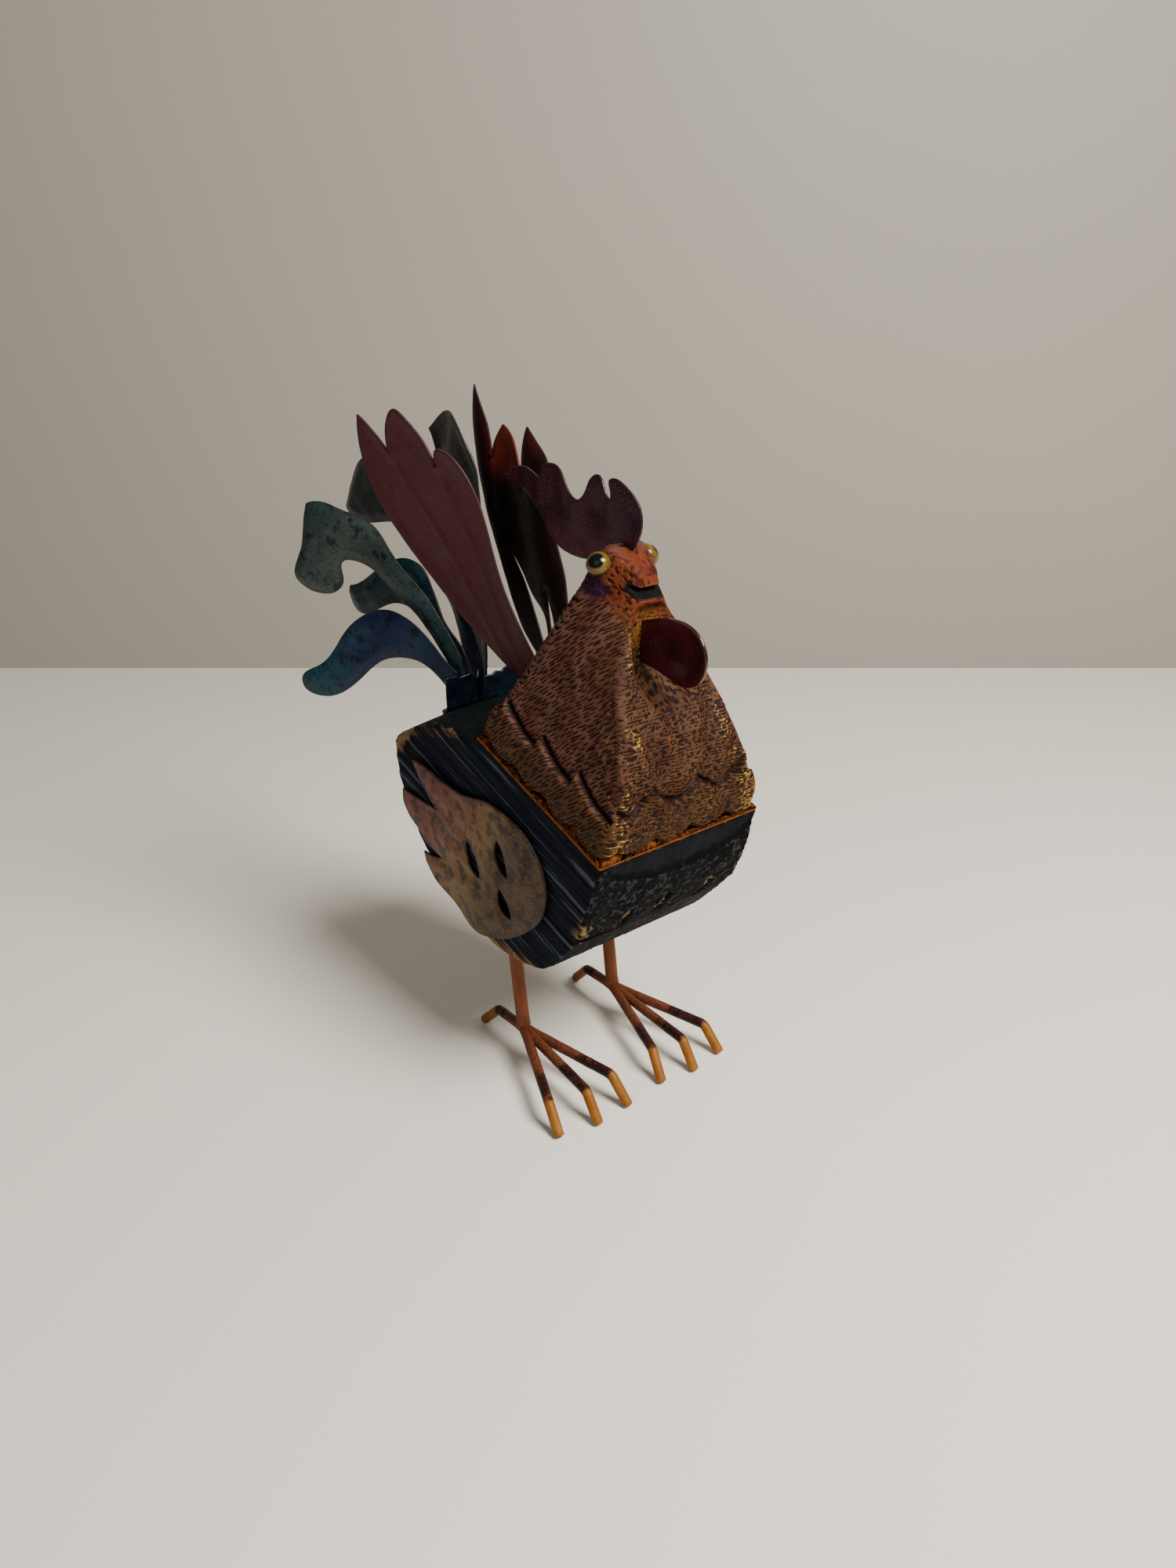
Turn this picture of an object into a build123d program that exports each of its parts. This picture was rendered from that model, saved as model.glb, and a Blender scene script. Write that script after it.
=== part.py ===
from build123d import *
from math import cos, radians, sin
import os

# Free-standing rooster figure: timber body block, carved neck and head, sheet
# copper comb, wattle, wings and tail, glass eyes, steel rod legs and toes.
# Millimetres. The bird faces -Y, +Z is up and x = 0 is its middle plane until the
# last step, which moves the whole figure over the centre of its own footprint.

# ---- Driving dimensions ----
TIMBER = 89.0  # planed width of a 4x4 post
SEAT_LENGTH = 87.0  # flat seat that carries the neck
SEAT_TILT = 21.3  # degrees, rising towards the tail
SEAT_FRONT_Y = -74.3  # front edge of the seat
SEAT_FRONT_Z = 134.8
BLOCK_EDGE = 2.5  # worn radius of the block's side edges
BACK_CROWN = 3.5  # rise of the sloping back from its sides to the middle
PLINTH_HEIGHT = 2.4  # square foot of the neck
HEM_TOP = 13.7  # top of the scalloped band round the neck
SCALLOPS = 5  # lobes on each side of the band
SHEET = 1.0  # copper sheet of the comb, wattle and feathers
WING_SHEET = 1.2
WING_GAP = 1.4  # air between a wing and the timber
LEG_ROD = 6.35  # 1/4 inch rod
TOE_ROD = 4.76  # 3/16 inch rod
TOE_BEND = 5.0
ANKLE_Z = 16.2
LEG_TOP = 112.0  # top of a leg, inside its bore in the block
EYE_DIAMETER = 9.8
EYE_HEIGHT = 4.6
EYE_PIN_LENGTH = 9.0
DOWEL = 10.0
STUD = 2.0  # wing studs, eye pins and bracket nails
HALF = TIMBER / 2

TILT = radians(SEAT_TILT)
ALONG = Vector(0, cos(TILT), sin(TILT))  # u: rearwards along the seat
UP = Vector(0, -sin(TILT), cos(TILT))  # v: square to the seat
SEAT_FRONT = Vector(0, SEAT_FRONT_Y, SEAT_FRONT_Z)
SIDE_NAME = {-1: "right", 1: "left"}


def from_seat(u, v, x=0.0):
    """Point u along the seat from its front edge, v above it and x to the side."""
    return SEAT_FRONT + ALONG * u + UP * v + Vector(x, 0, 0)


def side_plane(x=0.0):
    """Upright plane at x; its local x and y are u and v."""
    return Plane(origin=from_seat(0, 0, x), x_dir=ALONG, z_dir=(1, 0, 0))


def section_plane(v):
    """Plane parallel to the seat, v above it; its local x and y are X and u."""
    return Plane(origin=from_seat(0, v), x_dir=(1, 0, 0), z_dir=UP)


def splayed_plane(foot, splay, lean, side):
    """Plane of a standing feather: local x runs rearwards and turns outwards by
    splay, local y runs up and tips outwards by lean, both in degrees."""
    turn, tip = radians(splay), radians(lean)
    rearwards = Vector(side * sin(turn), cos(turn), 0)
    upwards = Vector(side * cos(turn) * sin(tip), -sin(turn) * sin(tip), cos(tip))
    return Plane(origin=foot, x_dir=rearwards, z_dir=rearwards.cross(upwards))


def outline(*runs):
    """Face inside runs of points: two points make a line, more make a spline."""
    return make_face([Line(*run) if len(run) == 2 else Spline(*run) for run in runs])


def plate(plane, face, thickness=SHEET):
    return extrude(plane * face, amount=thickness / 2, both=True)


def rod(start, end, diameter):
    start, end = Vector(start), Vector(end)
    base = Plane(origin=start, z_dir=end - start)
    return extrude(base * Circle(diameter / 2), amount=(end - start).length)


# ---- Body block: a post cut to a tilted seat, a sloping back and a round belly ----
def block_section(x, crown):
    """Profile of the block at x, with its back raised by the crown."""
    return side_plane(x) * outline(
        [(0, 0), (SEAT_LENGTH, 0)],
        [(SEAT_LENGTH, 0), (102 + crown * 0.4, -8 + crown * 0.7),
         (122 + crown * 0.6, -19 + crown * 0.8), (140 + crown * 0.7, -38 + crown * 0.7)],
        [(140 + crown * 0.7, -38 + crown * 0.7), (143.4 + crown * 0.4, -44), (141, -50.6)],
        [(141, -50.6), (130, -66.4), (104, -83), (73.7, -89.5), (50.7, -90.5), (28, -83),
         (12, -71.6), (4.8, -57.5), (-0.6, -43)],
        [(-0.6, -43), (-1.6, -34), (-1.8, -18), (0, 0)],
    )


def body_block():
    block = loft([block_section(-HALF, 0), block_section(0, BACK_CROWN), block_section(HALF, 0)])
    seat_centre = from_seat(SEAT_LENGTH / 2, 0)
    worn = [edge for edge in block.edges()
            if abs(abs(edge.center().X) - HALF) < 0.01
            and abs((edge.center() - seat_centre).dot(UP)) > 0.5]
    return fillet(worn, BLOCK_EDGE)


# ---- Neck and head: one carving on a square plinth, with a scalloped band ----
def neck_section(v, front, rear, front_half, rear_half, corner):
    corners = [(-front_half, front), (front_half, front), (rear_half, rear), (-rear_half, rear)]
    return section_plane(v) * make_face(FilletPolyline(*corners, radius=corner, close=True))


def throat_valley():
    """Hollow between the two front ridges, under the beak, where the wattle sits."""
    radius = 15.0
    low, high = from_seat(36.5, 60.6), from_seat(41.9, 77.3)
    return rod(low, high, 2 * radius) + Pos(low) * Sphere(radius)


def mouth():
    """Wedge across the tip of the beak that leaves it open."""
    gape = outline([(62, 82), (50, 89.5)], [(50, 89.5), (50, 79)], [(50, 79), (62, 82)])
    return extrude(side_plane() * gape, amount=20, both=True)


def brow():
    """Slope from the comb down to the tip of the beak."""
    above = outline([(77, 93.4), (77, 99)], [(77, 99), (48, 99)], [(48, 99), (48, 86.2)],
                    [(48, 86.2), (77, 93.4)])
    return extrude(side_plane() * above, amount=20, both=True)


def scallop_cuts():
    """Notches between the lobes of the band, on all four sides."""
    pitch = SEAT_LENGTH / SCALLOPS
    radius = 2.4
    cuts = []
    for lobe in range(1, SCALLOPS):
        across = from_seat(lobe * pitch, PLINTH_HEIGHT, -HALF - radius)
        cuts.append(rod(across, across + Vector(TIMBER + 2 * radius, 0, 0), 2 * radius))
        lengthwise = from_seat(-3 * radius, PLINTH_HEIGHT, lobe * pitch - SEAT_LENGTH / 2)
        cuts.append(rod(lengthwise, lengthwise + ALONG * (SEAT_LENGTH + 6 * radius), 2 * radius))
    return cuts


def neck_head():
    plinth = extrude(neck_section(0, 0.3, SEAT_LENGTH, HALF, HALF, 1.0), amount=PLINTH_HEIGHT, dir=UP)
    band = loft([
        neck_section(PLINTH_HEIGHT, -0.6, 87.2, 44.2, 44.2, 3.0),
        neck_section(4.4, -1.7, 87.4, 44.6, 44.6, 3.0),
        neck_section(HEM_TOP, 2.7, 86.6, 42.3, 42.3, 3.0),
    ])
    for cut in scallop_cuts():
        band -= cut
    core = extrude(neck_section(0, 3.6, 83.5, 40, 40, 3.0), amount=HEM_TOP, dir=UP)
    neck = loft([
        neck_section(HEM_TOP, 4.2, 85.6, 40.4, 40.4, 3.0),
        neck_section(24.2, 7.9, 84.5, 36.1, 36.1, 4.0),
        neck_section(34.0, 13.8, 83.0, 32.7, 32.7, 4.0),
        neck_section(42.5, 21.7, 82.2, 29.7, 29.7, 4.0),
        neck_section(53.0, 32.5, 81.2, 25.2, 26.1, 4.0),
        neck_section(61.0, 40.3, 80.4, 20.8, 23.4, 4.0),
        neck_section(68.0, 44.8, 79.9, 15.4, 21.0, 4.0),
        neck_section(76.0, 50.0, 79.4, 9.2, 18.0, 4.0),
        neck_section(84.0, 55.0, 80.0, 6.8, 15.6, 4.0),
        neck_section(90.0, 57.5, 80.4, 6.2, 13.6, 3.5),
        neck_section(93.0, 60.5, 78.0, 5.4, 10.0, 3.0),
    ])
    return plinth + band + core + neck - throat_valley() - mouth() - brow()


def neck_dowel(side):
    """Hidden dowel that pins the carving to the block."""
    x = side * 20
    return rod(from_seat(44, -26, x), from_seat(44, 24, x), DOWEL)


# ---- Sheet pieces let into saw slots in the head ----
def comb():
    face = outline(
        [(-41.3, 247.3), (-35, 242), (-26, 241.2), (-13, 239.5), (-3.6, 239.9), (5, 242.5),
         (13, 249.4), (22.6, 260.5), (29, 263.6), (39.6, 267)],
        [(39.6, 267), (33, 271.8), (22, 271.5), (15.5, 268.7)],
        [(15.5, 268.7), (14.6, 273.6), (9, 275.4), (2, 272.3), (-3.9, 265.5), (-9.1, 262.9)],
        [(-9.1, 262.9), (-14, 268), (-17.5, 273), (-20.5, 274), (-24, 271.6), (-26.5, 267),
         (-28.9, 265.3)],
        [(-28.9, 265.3), (-29.6, 269), (-29, 272.6), (-32, 273.9), (-38, 271.3), (-44, 265),
         (-45.8, 257), (-44, 250.5), (-41.3, 247.3)],
    )
    return plate(Plane.YZ, face)


def wattle():
    face = outline(
        [(-40, 219.5), (-51, 222), (-63, 225), (-74, 224.8), (-82, 220), (-84.7, 211.5),
         (-81.5, 203.5), (-72, 199.6), (-62, 201.9), (-52, 204), (-42, 206)],
        [(-42, 206), (-40, 219.5)],
    )
    return plate(Plane.YZ, face)


# ---- Eyes: glass domes on wire pins ----
def eye_plane(side):
    look = Vector(side * 0.72, -0.41, 0.55).normalized()
    centre = Vector(side * 13.9, -36.5, 243.7)
    return Plane(origin=centre - look * 1.6, z_dir=look)


def eye(side):
    radius = EYE_DIAMETER / 2
    half_profile = outline(
        [(0, 0), (radius - 0.6, 0)],
        [(radius - 0.6, 0), (radius, 0.8), (radius - 0.3, 1.7), (radius * 0.62, 3.7),
         (0, EYE_HEIGHT)],
        [(0, EYE_HEIGHT), (0, 0)],
    )
    return eye_plane(side) * revolve(Plane.XZ * half_profile, Axis.Z)


def eye_pin(side):
    back = eye_plane(side)
    return rod(back.origin - back.z_dir * EYE_PIN_LENGTH, back.origin, STUD)


# ---- Wings: slotted sheet held off the timber on studs ----
def teardrop(head, tip, bulge):
    """Crescent slot from its round head to its pointed tip."""
    head, tip = Vector(*head), Vector(*tip)
    across = (tip - head).rotate(Axis.Z, 90).normalized()
    middle = (head + tip) / 2
    return make_face([
        ThreePointArc(head, middle + across * bulge, tip),
        ThreePointArc(tip, middle - across * bulge * 0.35, head),
    ])


def wing_face():
    face = outline(
        [(125, -42), (105, -36), (86, -31), (72, -23), (57, -18), (41, -17), (29, -22.5),
         (21, -33), (20, -47), (26, -61), (37, -76), (50, -87)],
        [(50, -87), (59, -90), (71, -88), (88, -88.5), (103, -81)],
        [(103, -81), (96, -78), (89, -73)],
        [(89, -73), (98, -74), (112, -73), (123, -70.5), (128, -62)],
        [(128, -62), (112, -56.5), (99, -51)],
        [(99, -51), (112, -48), (125, -42)],
    )
    for head, tip, bulge in (((75, -49), (61, -60), 5.0), ((57, -33), (45, -45), 5.2),
                             ((48, -54), (36, -62), 5.0)):
        face -= teardrop(head, tip, bulge)
    return face


WING_X = HALF + WING_GAP + WING_SHEET / 2


def wing(side):
    return plate(side_plane(side * WING_X), wing_face(), WING_SHEET)


def wing_studs(side):
    """Studs soldered behind the wing and driven into the block."""
    inner = side * (HALF - 9)
    outer = side * (HALF + WING_GAP)
    return [rod(from_seat(u, v, inner), from_seat(u, v, outer), STUD)
            for u, v in ((38, -42), (66, -74), (92, -48))]


# ---- Tail: bracket nailed to the back of the block, with feathers standing on it ----
BRACKET_Y = 66.0
BRACKET_TOP = 173.0
BRACKET_RIGHT = -20.0
BRACKET_LEFT = 22.0


def tail_bracket():
    """Upright band with a foot that follows the sloping back."""
    profile = FilletPolyline((BRACKET_Y, BRACKET_TOP), (BRACKET_Y, 157.7), (BRACKET_Y + 8, 151.4),
                             radius=2)
    strip = make_face(offset(profile, SHEET / 2, side=Side.BOTH))
    middle = (BRACKET_RIGHT + BRACKET_LEFT) / 2
    width = BRACKET_LEFT - BRACKET_RIGHT
    return Pos(middle, 0, 0) * extrude(Plane.YZ * strip, amount=width / 2, both=True)


FEATHERS = {
    # name: foot of its plane, splay, side, then the outline's runs (rearwards, up)
    "tail_plume_low": ((-14, 67, 166), 30, -1, (
        [(-1, -5), (6, 2), (17, 11), (27, 13), (37, 11), (47, 4), (56, -4), (67, -11),
         (78, -13), (86, -9), (86, -3), (77, 3), (68, 11), (59, 23), (49, 31), (37, 35),
         (25, 33), (14, 24), (6, 15), (-1, 9)],
        [(-1, 9), (-1, -5)],
    )),
    "tail_plume_forked": ((-11, 67, 168), 24, -1, (
        [(-1, -6), (8, 12), (19, 25), (33, 39), (45, 49), (57, 53), (64, 53)],
        [(64, 53), (67.5, 49), (67, 42), (71, 37), (79, 35), (88, 37), (94, 44), (92, 50),
         (88, 58), (86, 69), (83, 79)],
        [(83, 79), (75, 80.5), (62, 77), (47, 71), (34, 58), (22, 44.5), (11, 30.5), (3, 20),
         (-1, 12)],
        [(-1, 12), (-1, -6)],
    )),
    "tail_plume_short": ((-7, 67, 168), 14, -1, (
        [(-1, -6), (7, 5), (20, 17), (33, 28), (43, 32), (54, 29), (62, 25), (70, 23),
         (77, 26), (80, 32), (79, 36)],
        [(79, 36), (70, 39), (59, 46), (48, 52), (35, 55), (27, 51), (22, 41), (12, 26),
         (2, 16), (-1, 6)],
        [(-1, 6), (-1, -6)],
    )),
    "tail_plume_curled": ((-2, 67, 168), 8, -1, (
        [(-6, -6), (6, -6)],
        [(6, -6), (8, 12), (18, 33), (35, 54), (52, 68), (63, 68), (80, 66), (95, 72)],
        [(95, 72), (89, 84), (81, 95), (71, 99), (58, 96), (45, 84), (30, 64), (14, 45),
         (0, 24), (-6, 6)],
        [(-6, 6), (-6, -6)],
    )),
    "tail_plume_upright": ((4, 67, 168), 8, 1, (
        [(-1, -6), (6, 10), (20, 42), (31, 70), (41, 97), (51, 112)],
        [(51, 112), (41, 118), (32, 121.5), (23, 121), (13, 115), (5, 105), (1, 90),
         (-1, 60), (-1, 20), (-1, -6)],
    )),
}


def tail_plume(name):
    foot, splay, side, runs = FEATHERS[name]
    return plate(splayed_plane(foot, splay, 0, side), outline(*runs))


def feather_fan_right():
    """Three broad overlapping feathers on one tang, let into the block."""
    face = outline(
        [(-3, -6), (4, -6)],
        [(4, -6), (9, 12), (30, 30.5), (54, 50), (80, 77), (91, 98), (92, 128)],
        [(92, 128), (83, 122.5), (73, 113)],
        [(73, 113), (71, 126), (65, 132), (56, 127.5), (48, 120), (43, 110)],
        [(43, 110), (40, 117), (33, 115.5), (21, 99), (15, 68), (3, 41), (-3, 26), (-4.5, 10),
         (-3, -6)],
    )
    return plate(splayed_plane((-3, 14, 164), 7, 9, -1), face)


def feather_fan_left():
    """The same three feathers, opened out so that light shows between them."""
    rear = outline(
        [(-1, 6), (11, 21), (23, 28), (36, 38), (55, 62), (72, 88), (86, 122), (87, 137)],
        [(87, 137), (79, 127), (70, 110), (66, 94), (58, 78), (43, 61), (25, 45), (8, 24),
         (-3, 6)],
        [(-3, 6), (-1, 6)],
    )
    middle = outline(
        [(1, 6), (7, 26), (13, 43), (24, 49), (36, 57), (52, 70), (66, 94), (69, 110), (64, 121)],
        [(64, 121), (56, 117), (47, 108), (40, 94), (30, 79), (22, 68), (13, 55), (8.5, 42),
         (0, 24), (-3, 6)],
        [(-3, 6), (1, 6)],
    )
    front = outline(
        [(1, 6), (1, 28), (6, 44), (15, 57), (26, 73), (36, 84), (41, 104), (37, 122)],
        [(37, 122), (29, 116), (21, 108), (16, 94), (9, 76), (1, 62), (-5, 46), (-6.5, 28),
         (-3, 6)],
        [(-3, 6), (1, 6)],
    )
    tang = outline([(-3, -6), (4, -6)], [(4, -6), (3, 10), (-2, 16)], [(-2, 16), (-4.5, 8), (-3, -6)])
    face = rear + middle + front + tang
    return plate(splayed_plane((3, 14, 164), 6, 6, 1), face)


def bracket_nails():
    """Round-head nails through the bracket's foot."""
    nails = []
    for x in (BRACKET_RIGHT + 3, BRACKET_LEFT - 3):
        head = Vector(x, BRACKET_Y + 5, 154.3)
        into = Vector(0, -0.63, -0.78).normalized()
        nails.append(rod(head, head + into * 15, STUD) + rod(head - into * 1.2, head, 2.2 * STUD))
    return nails


# ---- Legs and toes: bent rod ----
ANKLE_X = {-1: -28.2, 1: 28.2}
LEG_LEAN = 0.136  # rearward travel of a leg for each millimetre of height
TOES = {
    -1: {"outer": ((-50.6, -47.7, 12.1), (-52.7, -57.1, 2)),
         "middle": ((-33.7, -53.3, 13.1), (-34.3, -61.8, 2)),
         "inner": ((-17.4, -51.7, 12.9), (-16.1, -61, 2)),
         "rear": ((-26.9, 22.3, 13.5), (-27.1, 33.9, 2))},
    1: {"outer": ((43.4, -50.5, 12.1), (44.1, -60, 2)),
        "middle": ((25.8, -53.6, 13.1), (25.2, -62, 2)),
        "inner": ((9.9, -49.6, 12.9), (7.3, -58.6, 2)),
        "rear": ((30.2, 22.3, 13.5), (32.1, 33.7, 2))},
}


def leg(side):
    rise = LEG_TOP - ANKLE_Z
    foot = Vector(ANKLE_X[side], 0, ANKLE_Z)
    return rod(foot, foot + Vector(0, LEG_LEAN * rise, rise), LEG_ROD)


def toe(side, name):
    """Rod from the ankle to the knuckle, bent down to a squared tip with a small flat."""
    knuckle, end = (Vector(*point) for point in TOES[side][name])
    ankle = Vector(ANKLE_X[side], 0, ANKLE_Z - LEG_ROD / 2 + TOE_ROD / 2)
    end += (end - knuckle).normalized() * 1.6
    path = FilletPolyline(ankle, knuckle, end, radius=TOE_BEND)
    section = Plane(origin=ankle, z_dir=path % 0) * Circle(TOE_ROD / 2)
    below = Pos(end.X, end.Y, -20) * Box(40, 40, 40)
    return sweep(section, path=path) - below


# ---- Assembly: each piece is cut to the pieces that it is let into ----
nodes = {}
for side, name in SIDE_NAME.items():
    nodes["neck_dowel_" + name] = neck_dowel(side)
    nodes["eye_" + name] = eye(side)
    nodes["eye_pin_" + name] = eye_pin(side)
    nodes["wing_" + name] = wing(side)
    nodes["wing_studs_" + name] = Compound(children=wing_studs(side))
    nodes["leg_" + name] = leg(side)
nodes["comb"] = comb()
nodes["wattle"] = wattle()
nodes["feather_fan_right"] = feather_fan_right()
nodes["feather_fan_left"] = feather_fan_left()
nodes["bracket_nails"] = Compound(children=bracket_nails())
nodes["tail_bracket"] = tail_bracket() - nodes["bracket_nails"]
for name in FEATHERS:
    nodes[name] = tail_plume(name) - nodes["tail_bracket"] - nodes["bracket_nails"]

block = body_block()
neck = neck_head()
nodes["tail_bracket"] = nodes["tail_bracket"] - block
for name in FEATHERS:
    nodes[name] = nodes[name] - block
PAIRED_IN_BLOCK = ("neck_dowel_", "wing_studs_", "leg_", "feather_fan_")
PAIRED_IN_NECK = ("neck_dowel_", "eye_", "eye_pin_")
for name in SIDE_NAME.values():
    for piece in PAIRED_IN_BLOCK:
        block = block - nodes[piece + name]
    for piece in PAIRED_IN_NECK:
        neck = neck - nodes[piece + name]
block = block - nodes["bracket_nails"]
neck = neck - nodes["comb"] - nodes["wattle"]
nodes["body_block"] = block
nodes["neck_head"] = neck
for side, name in SIDE_NAME.items():
    fitted = [nodes["leg_" + name]]
    for which in ("middle", "outer", "inner", "rear"):
        piece = toe(side, which)
        for other in fitted:
            piece = piece - other
        nodes["toe_" + which + "_" + name] = piece
        fitted.append(piece)

# ---- Move the figure so that the bottom centre of its box is the origin ----
box = Compound(children=[Compound(children=shape.solids()) for shape in nodes.values()]).bounding_box()
to_origin = Pos(-box.center().X, -box.center().Y, -box.min.Z)
os.makedirs("parts", exist_ok=True)
for name, shape in nodes.items():
    export_step(Compound(children=(to_origin * shape).solids()), "parts/" + name + ".step")
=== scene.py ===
import bpy
import numpy as np
from itertools import product
from math import cos, pi, radians, sin
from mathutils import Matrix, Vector
from mathutils.geometry import delaunay_2d_cdt


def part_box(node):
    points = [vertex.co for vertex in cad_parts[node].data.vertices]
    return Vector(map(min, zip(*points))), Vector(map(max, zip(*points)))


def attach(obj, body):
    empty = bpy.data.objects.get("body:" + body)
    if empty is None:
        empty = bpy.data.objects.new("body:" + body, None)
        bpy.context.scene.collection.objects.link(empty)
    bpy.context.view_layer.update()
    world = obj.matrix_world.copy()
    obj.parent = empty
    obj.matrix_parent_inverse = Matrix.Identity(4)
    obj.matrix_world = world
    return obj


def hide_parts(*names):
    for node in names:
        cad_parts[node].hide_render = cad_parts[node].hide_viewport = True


# Looks of a free-standing rooster figure: brushed timber block, gouged and painted
# neck, flame-coloured sheet copper and painted rod feet. Shapes are worked out in
# millimetres in the bird's own space (x = 0 its middle plane, y = 0 at its ankles,
# facing -Y, z = 0 the table) and go into the row frame as they become meshes.

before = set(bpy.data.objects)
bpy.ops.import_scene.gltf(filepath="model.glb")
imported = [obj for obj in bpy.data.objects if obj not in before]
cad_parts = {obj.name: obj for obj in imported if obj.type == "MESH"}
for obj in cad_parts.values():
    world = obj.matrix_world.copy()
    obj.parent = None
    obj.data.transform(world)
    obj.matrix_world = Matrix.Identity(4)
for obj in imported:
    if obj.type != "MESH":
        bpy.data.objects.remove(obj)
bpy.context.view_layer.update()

# ---- Places and sizes shared with the CAD model, in millimetres ----
MM = 0.001
TILT = radians(21.3)
SEAT_Y, SEAT_Z = -74.3, 134.8  # front edge of the seat that carries the neck
SEAT_LENGTH = 87.0
HALF = 44.5  # half the timber's width
BACK_CROWN = 3.5
PLINTH = 1.5  # height of the neck's square foot
SHEET = 1.0
LEG_RADIUS, TOE_RADIUS = 6.35 / 2, 4.76 / 2
SIDES = {-1: "right", 1: "left"}  # the bird's own right is at -x
ANKLE_Z = 16.2
block_low, block_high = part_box("body_block")
TO_ROW = np.array([(block_low.x + block_high.x) / 2, block_low.y - SEAT_Y * MM, 0])


# ---- Points, curves and noise ----
def array(*points):
    return np.array(points, float)


def from_seat(u, v, x):
    """Points u along the seat, v above it and x to the side, as an array of x, y, z."""
    return np.stack([x + 0 * u, SEAT_Y + u * cos(TILT) - v * sin(TILT),
                     SEAT_Z + u * sin(TILT) + v * cos(TILT)], -1)


def ramp(value, low, high):
    """Smooth step from 0 at low to 1 at high."""
    t = np.clip((value - low) / (high - low), 0, 1)
    return t * t * (3 - 2 * t)


def bump(value, centre, width):
    return np.exp(-((value - centre) / width) ** 2)


def sin_wave(value, length):
    return np.sin(value * 2 * pi / length)


def line_bump(a, b, start, end, width):
    """Ridge along the line from start to end, fading at its ends."""
    start, end = np.array(start, float), np.array(end, float)
    run = end - start
    length = np.linalg.norm(run)
    run = run / length
    t = (a - start[0]) * run[0] + (b - start[1]) * run[1]
    off = (a - start[0]) * run[1] - (b - start[1]) * run[0]
    return np.exp(-(off / width) ** 2) * ramp(t, -4, 4) * (1 - ramp(t, length - 6, length + 4))


def hash_cells(cells, seed):
    """Repeatable value from 0 to 1 for each whole-numbered cell."""
    cells = cells.astype(np.int64)
    mixed = cells[..., 0] * 73856093 ^ cells[..., 1] * 19349663 ^ cells[..., 2] * 83492791
    mixed = (mixed ^ seed * 2654435761) & 0xFFFFFFFF
    mixed = (mixed ^ mixed >> 13) * 1274126177 & 0xFFFFFFFF
    return (mixed >> 9 & 0xFFFF) / 65535


def noise(a, b, c, size, seed=0):
    """Smooth noise from 0 to 1 whose blobs are size across in a, b and c."""
    spread = np.stack(np.broadcast_arrays(a / size[0], b / size[1], c / size[2]), -1)
    base = np.floor(spread)
    part = spread - base
    part = part * part * (3 - 2 * part)
    total = 0
    for corner in product((0, 1), repeat=3):
        weight = np.prod(np.where(corner, part, 1 - part), -1)
        total = total + weight * hash_cells(base + corner, seed)
    return total


def spline(points, step):
    """Smooth curve through points, as a polyline of about that step."""
    points = np.array(points, float)
    padded = np.vstack([2 * points[0] - points[1], points, 2 * points[-1] - points[-2]])
    out = []
    for i in range(len(points) - 1):
        p0, p1, p2, p3 = padded[i:i + 4]
        count = max(1, round(np.linalg.norm(p2 - p1) / step))
        t = np.arange(count)[:, None] / count
        out.append(0.5 * (2 * p1 + (p2 - p0) * t + (2 * p0 - 5 * p1 + 4 * p2 - p3) * t ** 2
                          + (3 * p1 - p0 - 3 * p2 + p3) * t ** 3))
    return np.vstack(out + [points[-1:]])


def along(path):
    """Distance travelled at each point of a polyline."""
    return np.concatenate([[0], np.cumsum(np.linalg.norm(np.diff(path, axis=0), axis=1))])


def resample(path, count):
    """The same polyline with count + 1 evenly spaced points."""
    travelled = along(path)
    wanted = np.linspace(0, travelled[-1], count + 1)
    return np.stack([np.interp(wanted, travelled, path[:, k]) for k in range(path.shape[1])], -1)


def smoothed(values, width):
    """Rows averaged with their neighbours, so that a table of sections has no kinks."""
    reach = int(3 * width)
    kernel = np.exp(-(np.arange(-reach, reach + 1) / width) ** 2 / 2)
    kernel /= kernel.sum()
    padded = np.concatenate([2 * values[0] - values[reach:0:-1], values,
                             2 * values[-1] - values[-2:-reach - 2:-1]])
    return np.convolve(padded, kernel, "valid")


def vertex_normals(points, faces):
    """Average normal at each vertex of a quad or triangle mesh."""
    faces = np.asarray(faces)
    a, b, c = (points[faces[:, k]] for k in range(3))
    last = points[faces[:, -1]]
    face_normals = np.cross(b - a, c - a) + np.cross(c - a, last - a)
    normals = np.zeros_like(points)
    for k in range(faces.shape[1]):
        np.add.at(normals, faces[:, k], face_normals)
    return normals / np.maximum(np.linalg.norm(normals, axis=1, keepdims=True), 1e-12)


# ---- Mesh pieces ----
def link(thing):
    bpy.context.scene.collection.objects.link(thing)


def thicken(piece, thickness):
    solid = piece.modifiers.new("thickness", "SOLIDIFY")
    solid.thickness = thickness * MM
    solid.offset = 0


def add_piece(name, points, faces, material, nodes, masks=None):
    """Mesh object from millimetre points; masks are named per-vertex numbers for its material."""
    mesh = bpy.data.meshes.new(name)
    mesh.from_pydata((points * MM + TO_ROW).tolist(), [], [list(face) for face in faces])
    mesh.update()
    for mask, values in (masks or {}).items():
        kind = "FLOAT_VECTOR" if np.ndim(values) == 2 else "FLOAT"
        attribute = mesh.attributes.new(mask, kind, "POINT")
        key = "vector" if np.ndim(values) == 2 else "value"
        attribute.data.foreach_set(key, np.asarray(values, np.float32).ravel())
    mesh.shade_smooth()
    mesh.materials.append(material)
    piece = bpy.data.objects.new(name, mesh)
    link(piece)
    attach(piece, "root")
    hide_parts(*nodes)
    return piece


def ring_faces(rings, count, close=True):
    """Quads between rings of count points each."""
    step = np.arange(count if close else count - 1)
    start = np.arange(rings - 1)[:, None] * count
    near, far = start + step, start + (step + 1) % count
    return np.stack([near, far, far + count, near + count], -1).reshape(-1, 4)


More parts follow.
